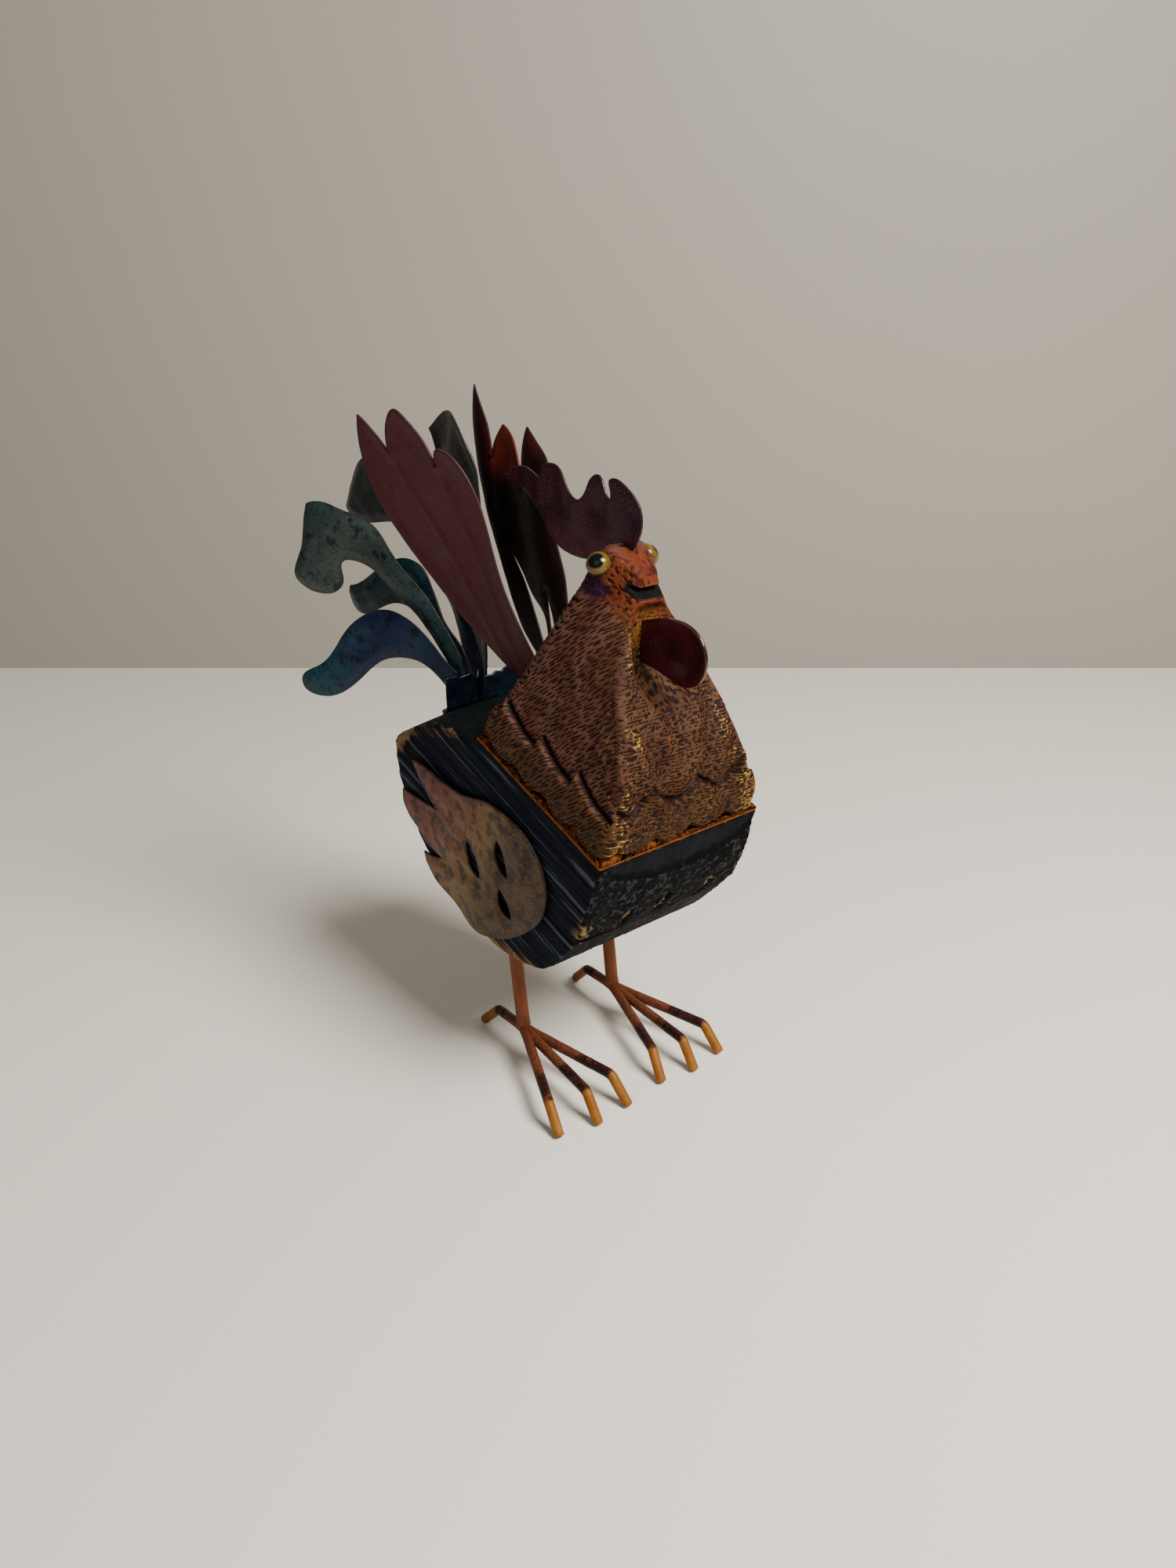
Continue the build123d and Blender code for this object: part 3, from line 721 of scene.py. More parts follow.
def neck_head():
    heights, sections, open_mouth = neck_shape()
    rings = []
    for v, section in zip(heights, sections):
        ring = neck_ring(*section)
        rings.append(throat_hollow(ring, v, (section[0] + section[1]) / 2))
    count = len(rings[0])
    x = np.concatenate([ring[:, 0] for ring in rings])
    u = np.concatenate([ring[:, 1] for ring in rings])
    v = np.repeat(heights, count)
    mouth = np.repeat(open_mouth, count) * ramp(u, MOUTH_BACK + 3, MOUTH_BACK + 1)
    crown = rings[-1]
    middle = crown.mean(0)
    for shrink, rise in ((0.9, 0.5), (0.75, 0.9), (0.55, 1.2), (0.3, 1.35), (0.02, 1.4)):
        ring = middle + (crown - middle) * shrink
        x, u = np.concatenate([x, ring[:, 0]]), np.concatenate([u, ring[:, 1]])
        v = np.concatenate([v, np.full(count, heights[-1] + rise)])
        mouth = np.concatenate([mouth, np.zeros(count)])
        rings.append(ring)
    faces = ring_faces(len(rings), count).tolist()
    faces.append(list(range(count))[::-1])
    brow = BROW_SLOPE * np.clip(77 - u, 0, None) * ramp(v, 79, 92)
    points = from_seat(u, v - brow, x)
    quads = np.array([face for face in faces if len(face) == 4])
    normals = vertex_normals(points, quads)
    push, masks = neck_marks(x, u, v, normals)
    push = push * (1 - mouth)
    points = points + normals * push[:, None]
    low = from_seat(u, np.full_like(u, 0.02), x)
    points = np.where((v < 0.1)[:, None], low, points)
    masks["mouth"] = mouth
    masks["place"] = np.stack([u, v, x], -1)
    return add_piece("carved_neck", points, faces, neck_paint(), ["neck_head"], masks)


# ---- Sheet copper: outlines come from the CAD plates, and their bends from formulas ----
class Flat:
    """A plate's own plane: a and b run along it and w stands off it."""

    def __init__(self, origin, along_a, along_b):
        self.origin = np.array(origin, float)
        self.a = np.array(along_a, float)
        self.b = np.array(along_b, float)
        self.w = np.cross(self.a, self.b)

    def local(self, points):
        away = points - self.origin
        return away @ self.a, away @ self.b, away @ self.w

    def space(self, a, b, w):
        a, b, w = (np.asarray(value)[..., None] for value in (a, b, w))
        return self.origin + a * self.a + b * self.b + w * self.w


def standing(foot, splay, lean, side):
    """Plane of a standing feather, as in the CAD model."""
    turn, tip = radians(splay), radians(lean)
    rearwards = (side * sin(turn), cos(turn), 0)
    upwards = (side * cos(turn) * sin(tip), -sin(turn) * sin(tip), cos(tip))
    return Flat(foot, rearwards, upwards)


def plate_loops(node, plane, thickness, step=1.1):
    """Outlines of a CAD plate's face on its plane, outer one first, evenly stepped."""
    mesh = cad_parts[node].data
    points = (np.array([vertex.co for vertex in mesh.vertices]) - TO_ROW) / MM
    a, b, w = plane.local(points)
    keys = np.round(np.stack([a, b], -1), 3)
    on_face = np.abs(w - thickness / 2) < 0.02
    numbers = {}
    merged = []
    for index in np.flatnonzero(on_face):
        key = tuple(keys[index])
        if key not in numbers:
            numbers[key] = len(merged)
            merged.append(key)
    uses = {}
    for polygon in mesh.polygons:
        corners = list(polygon.vertices)
        if all(on_face[k] for k in corners):
            ids = [numbers[tuple(keys[k])] for k in corners]
            for k in range(len(ids)):
                edge = (ids[k], ids[(k + 1) % len(ids)])
                if edge[::-1] in uses:
                    del uses[edge[::-1]]
                else:
                    uses[edge] = True
    following = dict(uses.keys())
    loops = []
    while following:
        start = min(following)
        loop, here = [], start
        while here in following:
            loop.append(merged[here])
            here = following.pop(here)
        loops.append(tidy_loop(np.array(loop), step))
    return sorted(loops, key=lambda loop: -np.ptp(loop[:, 0]) * np.ptp(loop[:, 1]))


def tidy_loop(loop, step):
    """Evenly stepped loop that keeps its sharp corners."""
    before, after = loop - np.roll(loop, 1, 0), np.roll(loop, -1, 0) - loop
    cosine = (before * after).sum(1) / (np.linalg.norm(before, axis=1) * np.linalg.norm(after, axis=1)
                                        + 1e-9)
    corners = list(np.flatnonzero(cosine < cos(radians(28))))
    if not corners:
        corners = [0]
    pieces = []
    for k, corner in enumerate(corners):
        last = corners[(k + 1) % len(corners)]
        last = last if last > corner else last + len(loop)
        run = loop[np.arange(corner, last + 1) % len(loop)]
        length = along(run)[-1]
        pieces.append(resample(run, max(1, round(length / step)))[:-1])
    return np.vstack(pieces)


def sheet(name, node, plane, bend, material, thickness=SHEET, spacing=1.5, masks=None,
          dents=0.35, seed=0):
    """Copper sheet on the CAD plate's outline. bend(a, b, rim) gives each point's shift along
    (a, b, w), where rim is its distance from the outline."""
    loops = plate_loops(node, plane, thickness)
    outer = loops[0]
    low, high = outer.min(0), outer.max(0)
    rows = np.arange(low[1], high[1], spacing * 0.87)
    lattice = []
    for k, row in enumerate(rows):
        columns = np.arange(low[0] + (k % 2) * spacing / 2, high[0], spacing)
        lattice.append(np.stack([columns, np.full_like(columns, row)], -1))
    lattice = np.vstack(lattice)
    lattice = lattice[inside(lattice, loops)]
    lattice = lattice[clear_of(lattice, loops, 0.6 * spacing)]
    flat, faces = fill(loops, lattice)
    a, b = flat[:, 0], flat[:, 1]
    edge_points = np.vstack(loops)
    rim = np.concatenate([np.linalg.norm(part[:, None] - edge_points[None], axis=2).min(1)
                          for part in np.array_split(flat, max(1, len(flat) // 2000))])
    shift = bend(a, b, rim)
    wobble = dents * (noise(a, b, 0 * a, (9, 9, 1), 40 + seed) - 0.5)
    wobble = wobble + 0.3 * dents * (noise(a, b, 0 * a, (3.6, 3.6, 1), 60 + seed) - 0.5)
    points = plane.space(a + shift[0], b + shift[1], shift[2] + wobble)
    values = {"place": np.stack([a, b, 0 * a], -1), "tone": np.zeros(len(a)),
              "rim": 0.65 * (1 - ramp(rim, 0.1, 1.3)), "speckled": np.ones(len(a))}
    values.update(masks(a, b, rim) if masks else {})
    piece = add_piece(name, points, faces, material, [node], values)
    thicken(piece, thickness)
    rounded = piece.modifiers.new("worn_edge", "BEVEL")
    rounded.width = 0.22 * thickness * MM
    rounded.segments = 2
    rounded.limit_method = "ANGLE"
    rounded.angle_limit = radians(50)
    return piece


def spots(a, b, places):
    """Mask of round marks at (a, b, radius)."""
    found = np.zeros(len(a))
    for at_a, at_b, radius in places:
        found = np.maximum(found, 1 - ramp(np.hypot(a - at_a, b - at_b), 0.75 * radius, 1.15 * radius))
    return found


UPRIGHT = Flat((0, 0, 0), (0, 1, 0), (0, 0, 1))


def comb():
    def bend(a, b, rim):
        curl = ramp(a, 14, 40)
        lobes_out = ramp(b, 255, 276) * bump(a, -15, 30)
        waves = 1.0 * sin_wave(a, 26) * ramp(b, 247, 262)
        return (-0.8 * curl, 0 * a, -3.6 * curl ** 2 - 1.2 * lobes_out + waves)

    def marks(a, b, rim):
        low = 1 - ramp(b, 243, 258)
        return {"tone": 0.25 + 0.45 * low + 0.1 * ramp(a, 20, 35), "speckled": 0.35 + 0.65 * (1 - low),
                "dot_0": spots(a, b, ((-36.8, 262.3, 1.6),)),
                "dot_1": spots(a, b, ((-4.2, 254.5, 1.5), (12.8, 256.8, 1.3)))}

    material = patina("comb_copper", [(0.0, (0.036, 0.006, 0.014)), (0.3, (0.078, 0.014, 0.034)),
                                      (0.55, (0.100, 0.018, 0.038)), (0.8, (0.085, 0.014, 0.026))],
                      0.3, 7, ((0.006, 0.001, 0.002), 0.23, 0.9), ((0.026, 0.011, 0.030), 0.14, 9),
                      (0.3, 0.45), 0.15, 0.15)
    return sheet("comb_sheet", "comb", UPRIGHT, bend, material, masks=marks, seed=1)


def wattle():
    def bend(a, b, rim):
        hang = ramp(-a, 42, 60)
        dish = 1 - ramp(rim, 0, 9)
        root = ramp(a, -62, -46)
        return (0 * a, 0 * a, hang * (2.4 - 3.4 * dish) * (1 - root) - 1.8 * root)

    def marks(a, b, rim):
        return {"tone": 0.2 + 0.5 * noise(a, b, 0 * a, (9, 14, 1), 71) + 0.15 * ramp(b, 212, 200),
                "rim": 0 * a, "speckled": 0.4 + 0 * a}

    material = patina("wattle_copper", [(0.0, (0.009, 0.002, 0.005)), (0.35, (0.034, 0.004, 0.009)),
                                        (0.6, (0.075, 0.009, 0.014)), (0.85, (0.065, 0.016, 0.040))],
                      0.3, 6, ((0.008, 0.001, 0.002), 0.14, 1.1), None, (0.12, 0.22), 1.0, 0.3)
    return sheet("wattle_sheet", "wattle", UPRIGHT, bend, material, masks=marks,
                 dents=0.25, seed=2)


def wing(side):
    thickness = 1.2
    gap = 1.4
    x = side * (HALF + gap + thickness / 2)
    plane = Flat(from_seat(np.array(0.0), np.array(0.0), np.array(x)),
                 (0, cos(TILT), sin(TILT)), (0, -sin(TILT), cos(TILT)))
    name = SIDES[side]

    def bend(a, b, rim):
        dome = 1.1 * ramp(rim, 0, 14) - 0.5 * ramp(a, 100, 126)
        ribs = 0
        for start, end in (((52, -54), (80, -40)), ((56, -60), (92, -62)), ((60, -66), (100, -84)),
                           ((46, -48), (30, -36)), ((50, -62), (34, -74)), ((74, -52), (118, -50))):
            ribs = ribs + 0.6 * line_bump(a, b, start, end, 1.7)
        return (0 * a, 0 * a, side * (dome + ribs - 0.1))

    def marks(a, b, rim):
        return {"tone": ramp(a + 0.25 * (b + 60), 46, 112), "speckled": 1 - ramp(a, 44, 66),
                "rim": 0.5 * (1 - ramp(rim, 0.1, 1.0))}

    material = patina("wing_copper_" + name,
                      [(0.0, (0.115, 0.070, 0.034)), (0.3, (0.165, 0.100, 0.044)),
                       (0.55, (0.180, 0.092, 0.046)), (0.78, (0.165, 0.072, 0.046)),
                       (1.0, (0.145, 0.052, 0.038))],
                      0.28, 14, ((0.014, 0.008, 0.007), 0.21, 0.7), ((0.034, 0.018, 0.022), 0.19, 6.5),
                      (0.4, 0.6), 0.0, 0.15)
    return sheet("wing_sheet_" + name, "wing_" + name, plane, bend, material, thickness,
                 1.6, marks, 0.5, 3 + side)


def fan_right():
    plane = standing((-3, 14, 164), 7, 9, -1)

    def bend(a, b, rim):
        crease = line_bump(a, b, (5, 14), (43, 108), 1.3) + line_bump(a, b, (14, 20), (73, 112), 1.3)
        swell = 1.2 * sin_wave(b + 0.5 * a, 120) + 1.4 * (1 - ramp(rim, 0, 7))
        rise = ramp(b, 12, 50)
        return (0 * a, 0 * a, -(0.9 * crease + swell * rise))

    def marks(a, b, rim):
        base = 1 - ramp(b, 4, 34)
        return {"tone": 0.62 - 0.62 * base + 0.08 * ramp(b, 60, 120), "speckled": 0.15 + 0.85 * base,
                "rim": 0.55 * (1 - ramp(rim, 0.1, 0.9))}

    material = patina("fan_copper_right", [(0.0, (0.026, 0.003, 0.005)), (0.3, (0.050, 0.007, 0.010)),
                                           (0.5, (0.066, 0.014, 0.018)), (0.75, (0.078, 0.020, 0.026))],
                      0.14, 22, ((0.030, 0.005, 0.007), 0.1, 1.2), ((0.062, 0.008, 0.010), 0.08, 14),
                      (0.45, 0.6), 0.0, 0.1)
    return sheet("fan_sheet_right", "feather_fan_right", plane, bend, material,
                 masks=marks, dents=0.4, seed=6)


def fan_left():
    plane = standing((3, 14, 164), 6, 6, 1)

    def bend(a, b, rim):
        split = ramp(b, 30, 70)
        tilt = sin_wave(a - np.interp(b, [0, 60, 120], [0, 26, 50]), 46)
        return (0 * a, 0 * a, split * 1.8 * tilt + 0.8 * (1 - ramp(rim, 0, 4)) * split)

    def marks(a, b, rim):
        front = ramp(np.interp(b, [40, 80, 122], [12, 24, 44]) - a, -3, 2)
        rear = ramp(a - np.interp(b, [30, 60, 94, 121], [22, 48, 66, 73]), -2, 2)
        top = ramp(b, 88, 108)
        tone = 0.1 + 0.15 * rear * top + 0.75 * top * (1 - rear) * (1 - front)
        return {"tone": tone + 0.3 * front * ramp(b, 96, 118), "speckled": 0.3 + 0 * a,
                "rim": 0.4 * (1 - ramp(rim, 0.1, 0.8))}

    material = patina("fan_copper_left", [(0.0, (0.004, 0.002, 0.0025)), (0.2, (0.016, 0.003, 0.004)),
                                          (0.45, (0.055, 0.009, 0.010)), (0.8, (0.155, 0.022, 0.008))],
                      0.18, 14, ((0.004, 0.002, 0.002), 0.1, 1.0), ((0.004, 0.006, 0.005), 0.06, 16),
                      (0.4, 0.55), 0.0, 0.15)
    return sheet("fan_sheet_left", "feather_fan_left", plane, bend, material,
                 masks=marks, dents=0.4, seed=7)


PLUMES = {
    # name: splay, side, foot, ripple height, colours from base to tip
    "low": (30, -1, (-14, 67, 166), 1.6,
        [(0.0, (0.0019, 0.0037, 0.0155)), (0.3, (0.0037, 0.0174, 0.0465)),
         (0.55, (0.0087, 0.0136, 0.0527)), (0.75, (0.0062, 0.0403, 0.0651)),
         (1.0, (0.005, 0.0372, 0.0384))]),
    "forked": (24, -1, (-11, 67, 168), 1.4,
        [(0.0, (0.0019, 0.0037, 0.0124)), (0.22, (0.006, 0.029, 0.032)),
         (0.5, (0.026, 0.044, 0.044)), (0.72, (0.045, 0.06, 0.056)),
         (0.85, (0.025, 0.042, 0.042)), (1.0, (0.018, 0.056, 0.056))]),
    "short": (14, -1, (-7, 67, 168), 1.2,
        [(0.0, (0.0019, 0.0031, 0.0112)), (0.4, (0.005, 0.0161, 0.0211)),
         (1.0, (0.0087, 0.036, 0.0409))]),
    "curled": (8, -1, (-2, 67, 168), 1.6,
        [(0.0, (0.0019, 0.0037, 0.0161)), (0.25, (0.0025, 0.0068, 0.0248)),
         (0.5, (0.005, 0.0174, 0.0248)), (0.8, (0.0186, 0.0273, 0.0285)),
         (1.0, (0.031, 0.0409, 0.0409))]),
    "upright": (8, 1, (4, 67, 168), 1.6,
        [(0.0, (0.0019, 0.0037, 0.0161)), (0.3, (0.0025, 0.0062, 0.0211)),
         (0.7, (0.0136, 0.018, 0.0192)), (1.0, (0.0279, 0.0335, 0.0347))]),
}


def tail_plume(name):
    splay, side, foot, ripple, colours = PLUMES[name]
    plane = standing(foot, splay, 0, side)
    phase = 11 * len(name)

    def bend(a, b, rim):
        grown = ramp(np.hypot(a, b), 10, 45)
        cup = 1.5 * (1 - ramp(rim, 0, 5))
        return (0 * a, 0 * a, side * grown * (ripple * sin_wave(a + 0.6 * b + phase, 58) - cup))

    def marks(a, b, rim):
        reach = np.hypot(a, b)
        return {"tone": 0.08 + 0.85 * reach / reach.max(), "speckled": 0.7 + 0 * a,
                "rim": 0.5 * (1 - ramp(rim, 0.1, 1.4))}

    material = patina("plume_copper_" + name, colours, 0.24, 8, ((0.002, 0.004, 0.008), 0.1, 1.6),
                      ((0.0015, 0.003, 0.006), 0.13, 6), (0.3, 0.5), 0.1, 0.2)
    return sheet("plume_sheet_" + name, "tail_plume_" + name, plane, bend, material,
                 masks=marks, dents=0.8, seed=10 + len(name))


def tail_bracket():
    """Band at the tail's root, with a ragged top and a foot that follows the crowned back."""
    low, high = ((np.array(corner) - TO_ROW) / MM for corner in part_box("tail_bracket"))
    across = np.linspace(low[0], high[0], 70)
    profile = spline([(66, high[2] - 0.5), (66, 163), (66.3, 158.3), (69.5, 154.6), (74, 151.4)], 0.9)
    x, y = np.meshgrid(across, profile[:, 0])
    z = np.repeat(profile[:, 1][:, None], len(across), 1)
    share = np.linspace(1, 0, len(profile))[:, None]
    teeth = 2 * noise(x, 0 * x, 0 * x, (3, 1, 1), 32)
    ragged = 7.5 * (noise(x, 0 * x, 0 * x, (9, 1, 1), 31) - 0.35) + teeth
    z = z - np.clip(ragged, 0, 8) * share ** 2
    z = z - BACK_CROWN * ((x - 1) / HALF) ** 2 * (1 - share)
    y = y + 1.6 * (noise(x, z, 0 * x, (8, 6, 1), 33) - 0.5) * share
    count = len(across)
    points = np.stack([x, y, z], -1).reshape(-1, 3)
    faces = ring_faces(len(profile), count, False)
    material = patina("bracket_copper", [(0.0, (0.003, 0.005, 0.010)), (0.5, (0.005, 0.010, 0.020)),
                                         (0.75, (0.008, 0.036, 0.046)), (1.0, (0.014, 0.060, 0.070))],
                      0.5, 5, ((0.003, 0.004, 0.008), 0.12, 1.5), None, (0.35, 0.5), 0.2)
    # The brighter teal stripe round z = 159, where the band bends over to its foot, is a painted glint.
    masks = {"place": points, "tone": 0.3 + 0.3 * bump(points[:, 2], 159, 3), "rim": 0 * points[:, 0],
             "speckled": 1 + 0 * points[:, 0]}
    piece = add_piece("tail_band", points, faces, material, ["tail_bracket"], masks)
    thicken(piece, SHEET)
    return piece


# ---- Rods, pins and eyes: rings carried along a path or round an axis ----
def tube(path, radii, sides):
    """Closed tube round a path; the path's ends are capped."""
    path = np.asarray(path, float)
    tangent = np.gradient(path, axis=0)
    tangent /= np.linalg.norm(tangent, axis=1, keepdims=True)
    normal = np.cross(tangent[0], array(0.31, 0.2, 0.93))
    normal /= np.linalg.norm(normal)
    angle = np.arange(sides) * 2 * pi / sides
    rings = []
    for here, forward, radius in zip(path, tangent, radii):
        normal = normal - forward * (normal @ forward)
        normal /= np.linalg.norm(normal)
        other = np.cross(forward, normal)
        rings.append(here + radius * (np.cos(angle)[:, None] * normal + np.sin(angle)[:, None] * other))
    points = np.vstack(rings)
    faces = ring_faces(len(path), sides).tolist()
    faces.append(list(range(sides))[::-1])
    faces.append(list(range(len(points) - sides, len(points))))
    return points, faces


def bent_path(start, knuckle, end, radius=5.0, step=0.8):
    """Straight run, round bend, straight run."""
    start, knuckle, end = (np.array(p, float) for p in (start, knuckle, end))
    near, far = start - knuckle, end - knuckle
    near, far = near / np.linalg.norm(near), far / np.linalg.norm(far)
    reach = radius / np.tan(np.arccos(near @ far) / 2)
    first, last = knuckle + near * reach, knuckle + far * reach
    t = np.linspace(0, 1, 10)[:, None]
    corner = (1 - t) ** 2 * first + 2 * t * (1 - t) * knuckle + t ** 2 * last
    runs = [resample(np.array([start, first]), round(np.linalg.norm(first - start) / step))[:-1],
            corner, resample(np.array([last, end]), max(2, round(np.linalg.norm(end - last) / step)))[1:]]
    return np.vstack(runs)


ANKLE_X = 28.2
LEG_SIDES, TOE_SIDES = 24, 20  # corners of the rods' rings
PAST_TIP = 1.2  # how far a toe's round end goes past its CAD line
LEG_TOP, LEG_LEAN = 112.0, 0.136
TOES = {  # knuckle, end
    -1: {"outer": ((-50.6, -47.7, 12.1), (-52.7, -57.1, 2)),
         "middle": ((-33.7, -53.3, 13.1), (-34.3, -61.8, 2)),
         "inner": ((-17.4, -51.7, 12.9), (-16.1, -61, 2)),
         "rear": ((-26.9, 22.3, 13.5), (-27.1, 33.9, 2))},
    1: {"outer": ((43.4, -50.5, 12.1), (44.1, -60, 2)),
        "middle": ((25.8, -53.6, 13.1), (25.2, -62, 2)),
        "inner": ((9.9, -49.6, 12.9), (7.3, -58.6, 2)),
        "rear": ((30.2, 22.3, 13.5), (32.1, 33.7, 2))},
}


def rod_paint(name):
    """Terracotta paint, browned and scorched towards the bends, with yellow tips."""
    p = Paint(name, Specular_IOR_Level=0.2)
    cloud = p.noise(7, 3, (1, 1, 2))
    grit = p.noise(1.4, 3)
    orange = p.mix(p.step(cloud, 0.35, 0.7), (0.15, 0.036, 0.010), (0.20, 0.058, 0.017))
    rust = p.mix(p.step(grit, 0.4, 0.62), (0.072, 0.019, 0.009), (0.125, 0.037, 0.014))
    colour = p.mix(p.mask("rust"), orange, rust)
    scorched = p.step(p.math("ADD", p.mask("scorch"), p.math("SUBTRACT", cloud, 0.5)), 0.42, 0.6)
    dark = p.mix(p.step(grit, 0.45, 0.6), (0.010, 0.003, 0.0025), (0.034, 0.008, 0.004))
    colour = p.mix(scorched, colour, dark)
    yellow = p.mix(p.step(cloud, 0.4, 0.7), (0.20, 0.070, 0.006), (0.25, 0.100, 0.013))
    colour = p.mix(p.mask("tip"), colour, yellow)
    return p.finish(colour, p.stops(cloud, [(0.3, (0.38,) * 3), (0.7, (0.55,) * 3)]),
                    p.math("ADD", grit, cloud), 0.12)


def legs_and_toes():
    paints = {kind: rod_paint(kind + "_paint") for kind in ("leg", "toe")}
    for side, name in SIDES.items():
        ankle = array(side * ANKLE_X, 0, ANKLE_Z)
        rise = LEG_TOP - ANKLE_Z
        path = resample(np.array([ankle, ankle + array(0, LEG_LEAN * rise, rise)]), 90)
        length = along(path)
        radii = LEG_RADIUS * (1 + 0.10 * bump(length, 1.5, 2.0))
        radii[0] *= 0.72
        points, faces = tube(path, radii, LEG_SIDES)
        push = noise(*points.T, (2, 2, 5), 51) - 0.5
        points[:, 0] += 0.18 * push
        low = 1 - ramp(points[:, 2], 18, 30)
        masks = {"place": points, "rust": 0.55 * low, "scorch": 0.1 * low, "tip": 0 * low}
        add_piece("leg_rod_" + name, points, faces, paints["leg"], ["leg_" + name], masks)
        for which, (knuckle, end) in TOES[side].items():
            start = array(side * ANKLE_X, 0, ANKLE_Z - LEG_RADIUS + TOE_RADIUS)
            knuckle, end = np.array(knuckle), np.array(end)
            end = end + (end - knuckle) / np.linalg.norm(end - knuckle) * PAST_TIP
            path = bent_path(start, knuckle, end)
            length = along(path)
            to_bend = np.linalg.norm(knuckle - start)
            radii = np.full(len(path), TOE_RADIUS)
            radii *= 1 + 0.12 * bump(length, 1.0, 3.0)
            radii[-1] *= 0.88
            points, faces = tube(path, radii, TOE_SIDES)
            seed = 52 + list(TOES[side]).index(which) + 4 * (side > 0)
            push = noise(*points.T, (3, 3, 3), seed) - 0.5
            points[:, 2] = np.maximum(points[:, 2] + 0.22 * push, 0.02)
            travelled = np.repeat(length, TOE_SIDES)
            travelled = np.concatenate([travelled, np.zeros(len(points) - len(travelled))])
            ragged = 1.5 * (noise(*points.T, (1.5, 1.5, 1.5), seed + 9) - 0.5)
            tip = ramp(travelled + ragged, to_bend - 0.6, to_bend + 0.4)
            scorch = ramp(travelled, 0.45 * to_bend, 0.72 * to_bend) * 0.62
            masks = {"place": points, "rust": 0.35 + 0.65 * ramp(travelled, 0, 18), "scorch": scorch,
                     "tip": tip}
            add_piece("toe_rod_" + which + "_" + name, points, faces, paints["toe"],
                      ["toe_" + which + "_" + name], masks)


EYE_LOOK, EYE_PLACE = (0.72, -0.41, 0.55), (13.9, -36.5, 243.7)  # on the left side
EYE_RIM, EYE_HEIGHT, EYE_SUNK = 4.9, 4.6, 1.6


def eyes():
    p = Paint("eye_glass", Roughness=0.2, Coat_Weight=0.35, Coat_Roughness=0.02, Specular_IOR_Level=0.25)
    radius = p.mask("radius")
    swirl = p.noise(1.2, 3)
    iris = p.mix(p.step(swirl, 0.35, 0.65), (0.070, 0.038, 0.004), (0.13, 0.075, 0.010))
    ring = p.stops(radius, [(0.60, (0.025, 0.013, 0.001)), (0.76, (0.17, 0.098, 0.012)),
                            (0.97, (0.055, 0.042, 0.009))])
    colour = p.mix(p.step(radius, 0.60, 0.66), (0.0015, 0.0015, 0.002), p.mix(0.5, iris, ring))
    material = p.finish(colour)
    rim = EYE_RIM
    profile = array((0.3, 0), (rim - 0.6, 0), (rim, 0.8), (rim - 0.1, 1.4), (rim - 0.45, 2.1),
                    (rim * 0.78, 2.9), (rim * 0.6, 3.65), (rim * 0.4, 4.2), (rim * 0.2, 4.5),
                    (0.02, EYE_HEIGHT))
    profile = spline(profile, 0.25)
    for side, name in SIDES.items():
        look = array(*EYE_LOOK) * (side, 1, 1)
        look /= np.linalg.norm(look)
        centre = array(*EYE_PLACE) * (side, 1, 1) - look * EYE_SUNK
        across = np.cross(look, array(0, 0, 1))
        across /= np.linalg.norm(across)
        over = np.cross(look, across)
        angle = np.arange(48) * 2 * pi / 48
        points, radii = [], []
        for r, h in profile:
            points.append(centre + look * h + r * (np.cos(angle)[:, None] * across
                                                   + np.sin(angle)[:, None] * over))
            radii += [r / rim if h > 1.2 else 1.0] * len(angle)
        points = np.vstack(points)
        faces = ring_faces(len(profile), len(angle))
        masks = {"place": points, "radius": np.array(radii)}
        add_piece("glass_eye_" + name, points, faces[:, ::-1], material,
                  ["eye_" + name], masks)


def hidden_fixings():
    """Dowels, pins, studs and nails keep their CAD shapes and get their own finishes."""
    steel = plain_paint("steel_wire", (0.16, 0.15, 0.14), (0.30, 0.29, 0.27), 0.002, 0.42)
    steel.node_tree.nodes["Principled BSDF"].inputs["Metallic"].default_value = 1.0
    dowel = plain_paint("dowel_wood", (0.42, 0.27, 0.14), (0.62, 0.45, 0.27), 0.003, 0.7)
    nail = plain_paint("blackened_nail", (0.010, 0.012, 0.018), (0.03, 0.04, 0.055), 0.001, 0.4)
    for node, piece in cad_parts.items():
        if node.startswith(("eye_pin", "wing_studs", "neck_dowel", "bracket_nails")):
            chosen = dowel if "dowel" in node else nail if "nails" in node else steel
            piece.data.materials.clear()
            piece.data.materials.append(chosen)


# ---- Camera, floor and light ----
EYE_POINT = (-295.76, -366.14, 337.35)
YAW, PITCH = radians(40.05), radians(23.27)
SENSOR, LENS = 36.0, 25.93


def camera():
    data = bpy.data.cameras.new("camera")
    data.sensor_width = SENSOR
    data.lens = LENS
    data.clip_end = 20.0
    view = bpy.data.objects.new("camera", data)
    link(view)
    forward = Vector((sin(YAW) * cos(PITCH), cos(YAW) * cos(PITCH), -sin(PITCH)))
    view.location = Vector(EYE_POINT) * MM + Vector(TO_ROW)
    view.rotation_mode = "QUATERNION"
    view.rotation_quaternion = forward.to_track_quat("-Z", "Y")
    bpy.context.scene.camera = view


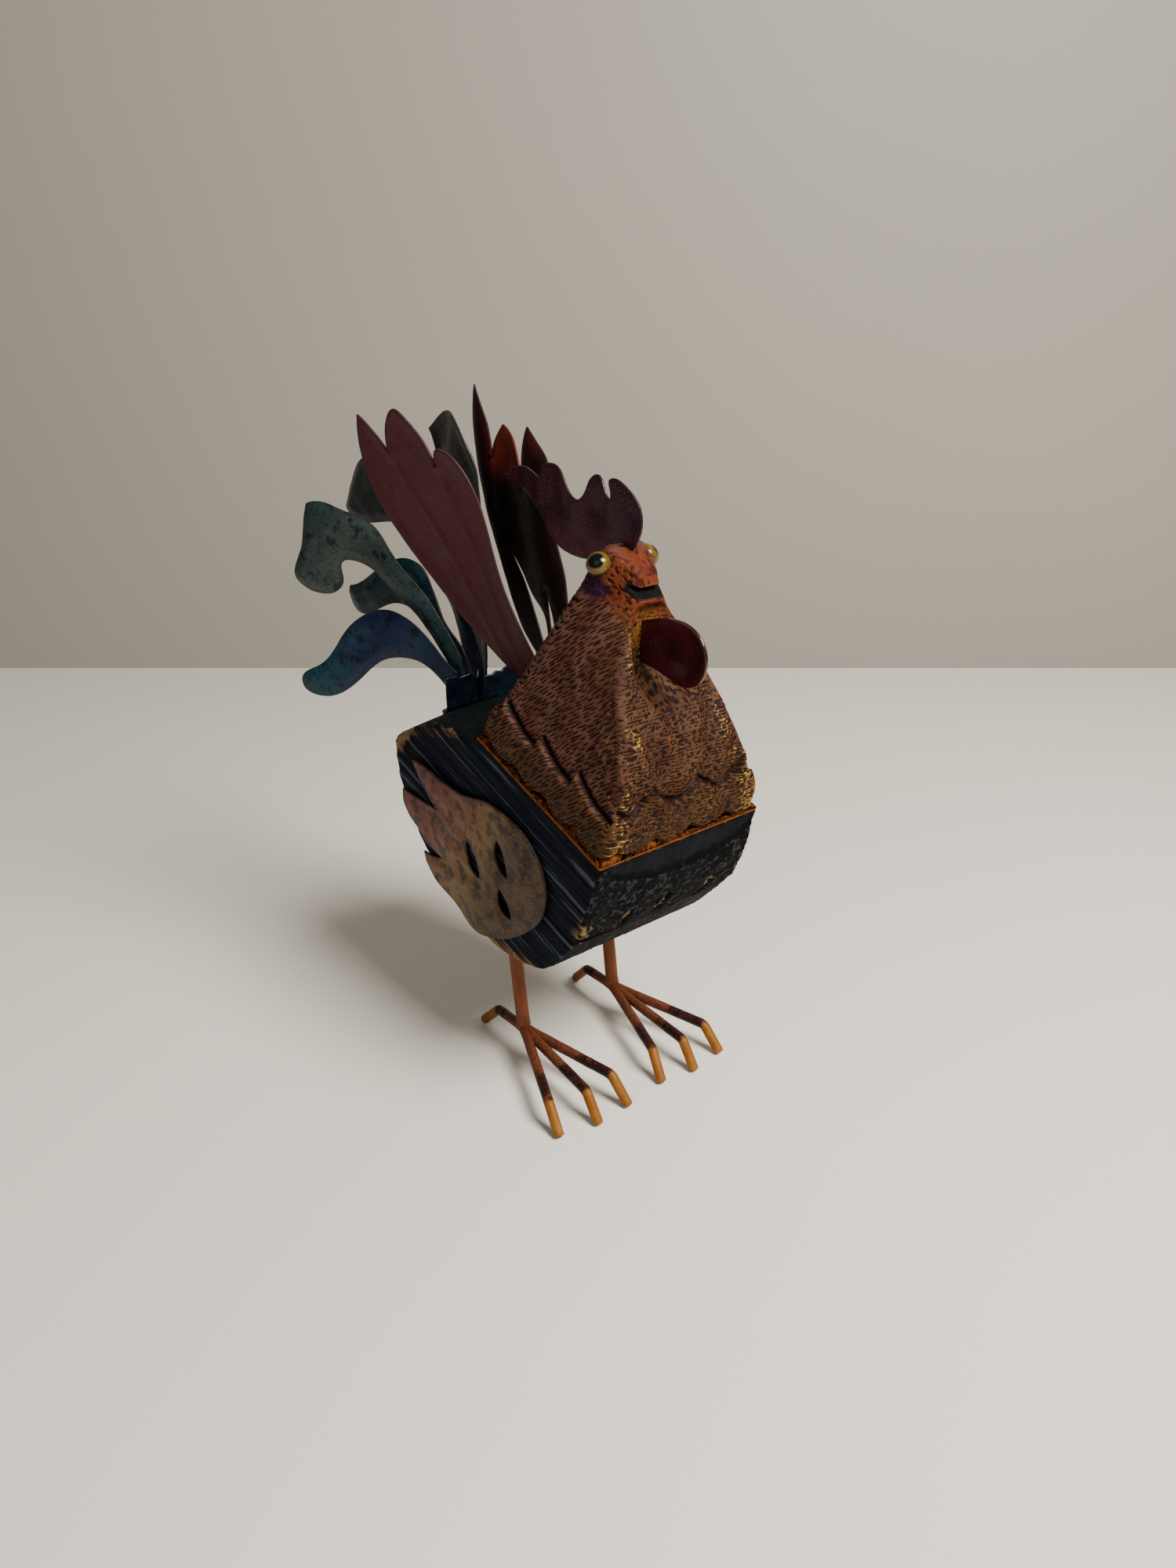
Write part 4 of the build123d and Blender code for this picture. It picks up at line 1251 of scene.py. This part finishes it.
def soft_light(name, place, target, size, power, colour):
    data = bpy.data.lights.new(name, "AREA")
    data.shape = "DISK"
    data.size = size
    data.energy = power
    data.color = colour
    lamp = bpy.data.objects.new(name, data)
    link(lamp)
    lamp.location = place
    lamp.rotation_mode = "QUATERNION"
    lamp.rotation_quaternion = (Vector(target) - Vector(place)).to_track_quat("-Z", "Y")


def studio():
    """Table top that meets a pale wall behind the bird, and soft light from ahead of it."""
    reach, wall_at, wall_top = 3.0, 0.58, 2.5
    room_light = 0.17
    away = Vector((sin(YAW), cos(YAW), 0))
    across = Vector((cos(YAW), -sin(YAW), 0))
    for name, corners, colours in (
            ("table_top", ((-reach, -reach), (reach, -reach), (reach, wall_at), (-reach, wall_at)),
             ((0.77, 0.735, 0.66), (0.80, 0.765, 0.69))),
            ("wall", ((-reach, 0), (reach, 0), (reach, wall_top), (-reach, wall_top)),
             ((0.315, 0.292, 0.25), (0.34, 0.315, 0.27)))):
        mesh = bpy.data.meshes.new(name)
        if name == "table_top":
            corners = [across * a + away * b for a, b in corners]
        else:
            corners = [across * a + away * wall_at + Vector((0, 0, b)) for a, b in corners]
        mesh.from_pydata([tuple(c) for c in corners], [], [(0, 1, 2, 3)])
        mesh.materials.append(plain_paint(name, *colours, 0.3, 0.6))
        backdrop = bpy.data.objects.new(name, mesh)
        link(backdrop)
    world = bpy.data.worlds.new("room")
    world.use_nodes = True
    world.node_tree.nodes["Background"].inputs["Color"].default_value = (1.0, 0.965, 0.93, 1)
    world.node_tree.nodes["Background"].inputs["Strength"].default_value = room_light
    bpy.context.scene.world = world
    soft_light("window", (0.15, -0.75, 1.00), (0, 0, 0.08), 0.55, 29, (1.0, 0.955, 0.90))
    soft_light("fill", (-0.95, -0.55, 0.8), (0, 0, 0.15), 1.0, 1.5, (1.0, 0.97, 0.95))


# ---- Assembly ----
camera()
studio()
body_block()
neck_head()
comb()
wattle()
for side in SIDES:
    wing(side)
fan_right()
fan_left()
for plume in PLUMES:
    tail_plume(plume)
tail_bracket()
eyes()
legs_and_toes()
hidden_fixings()
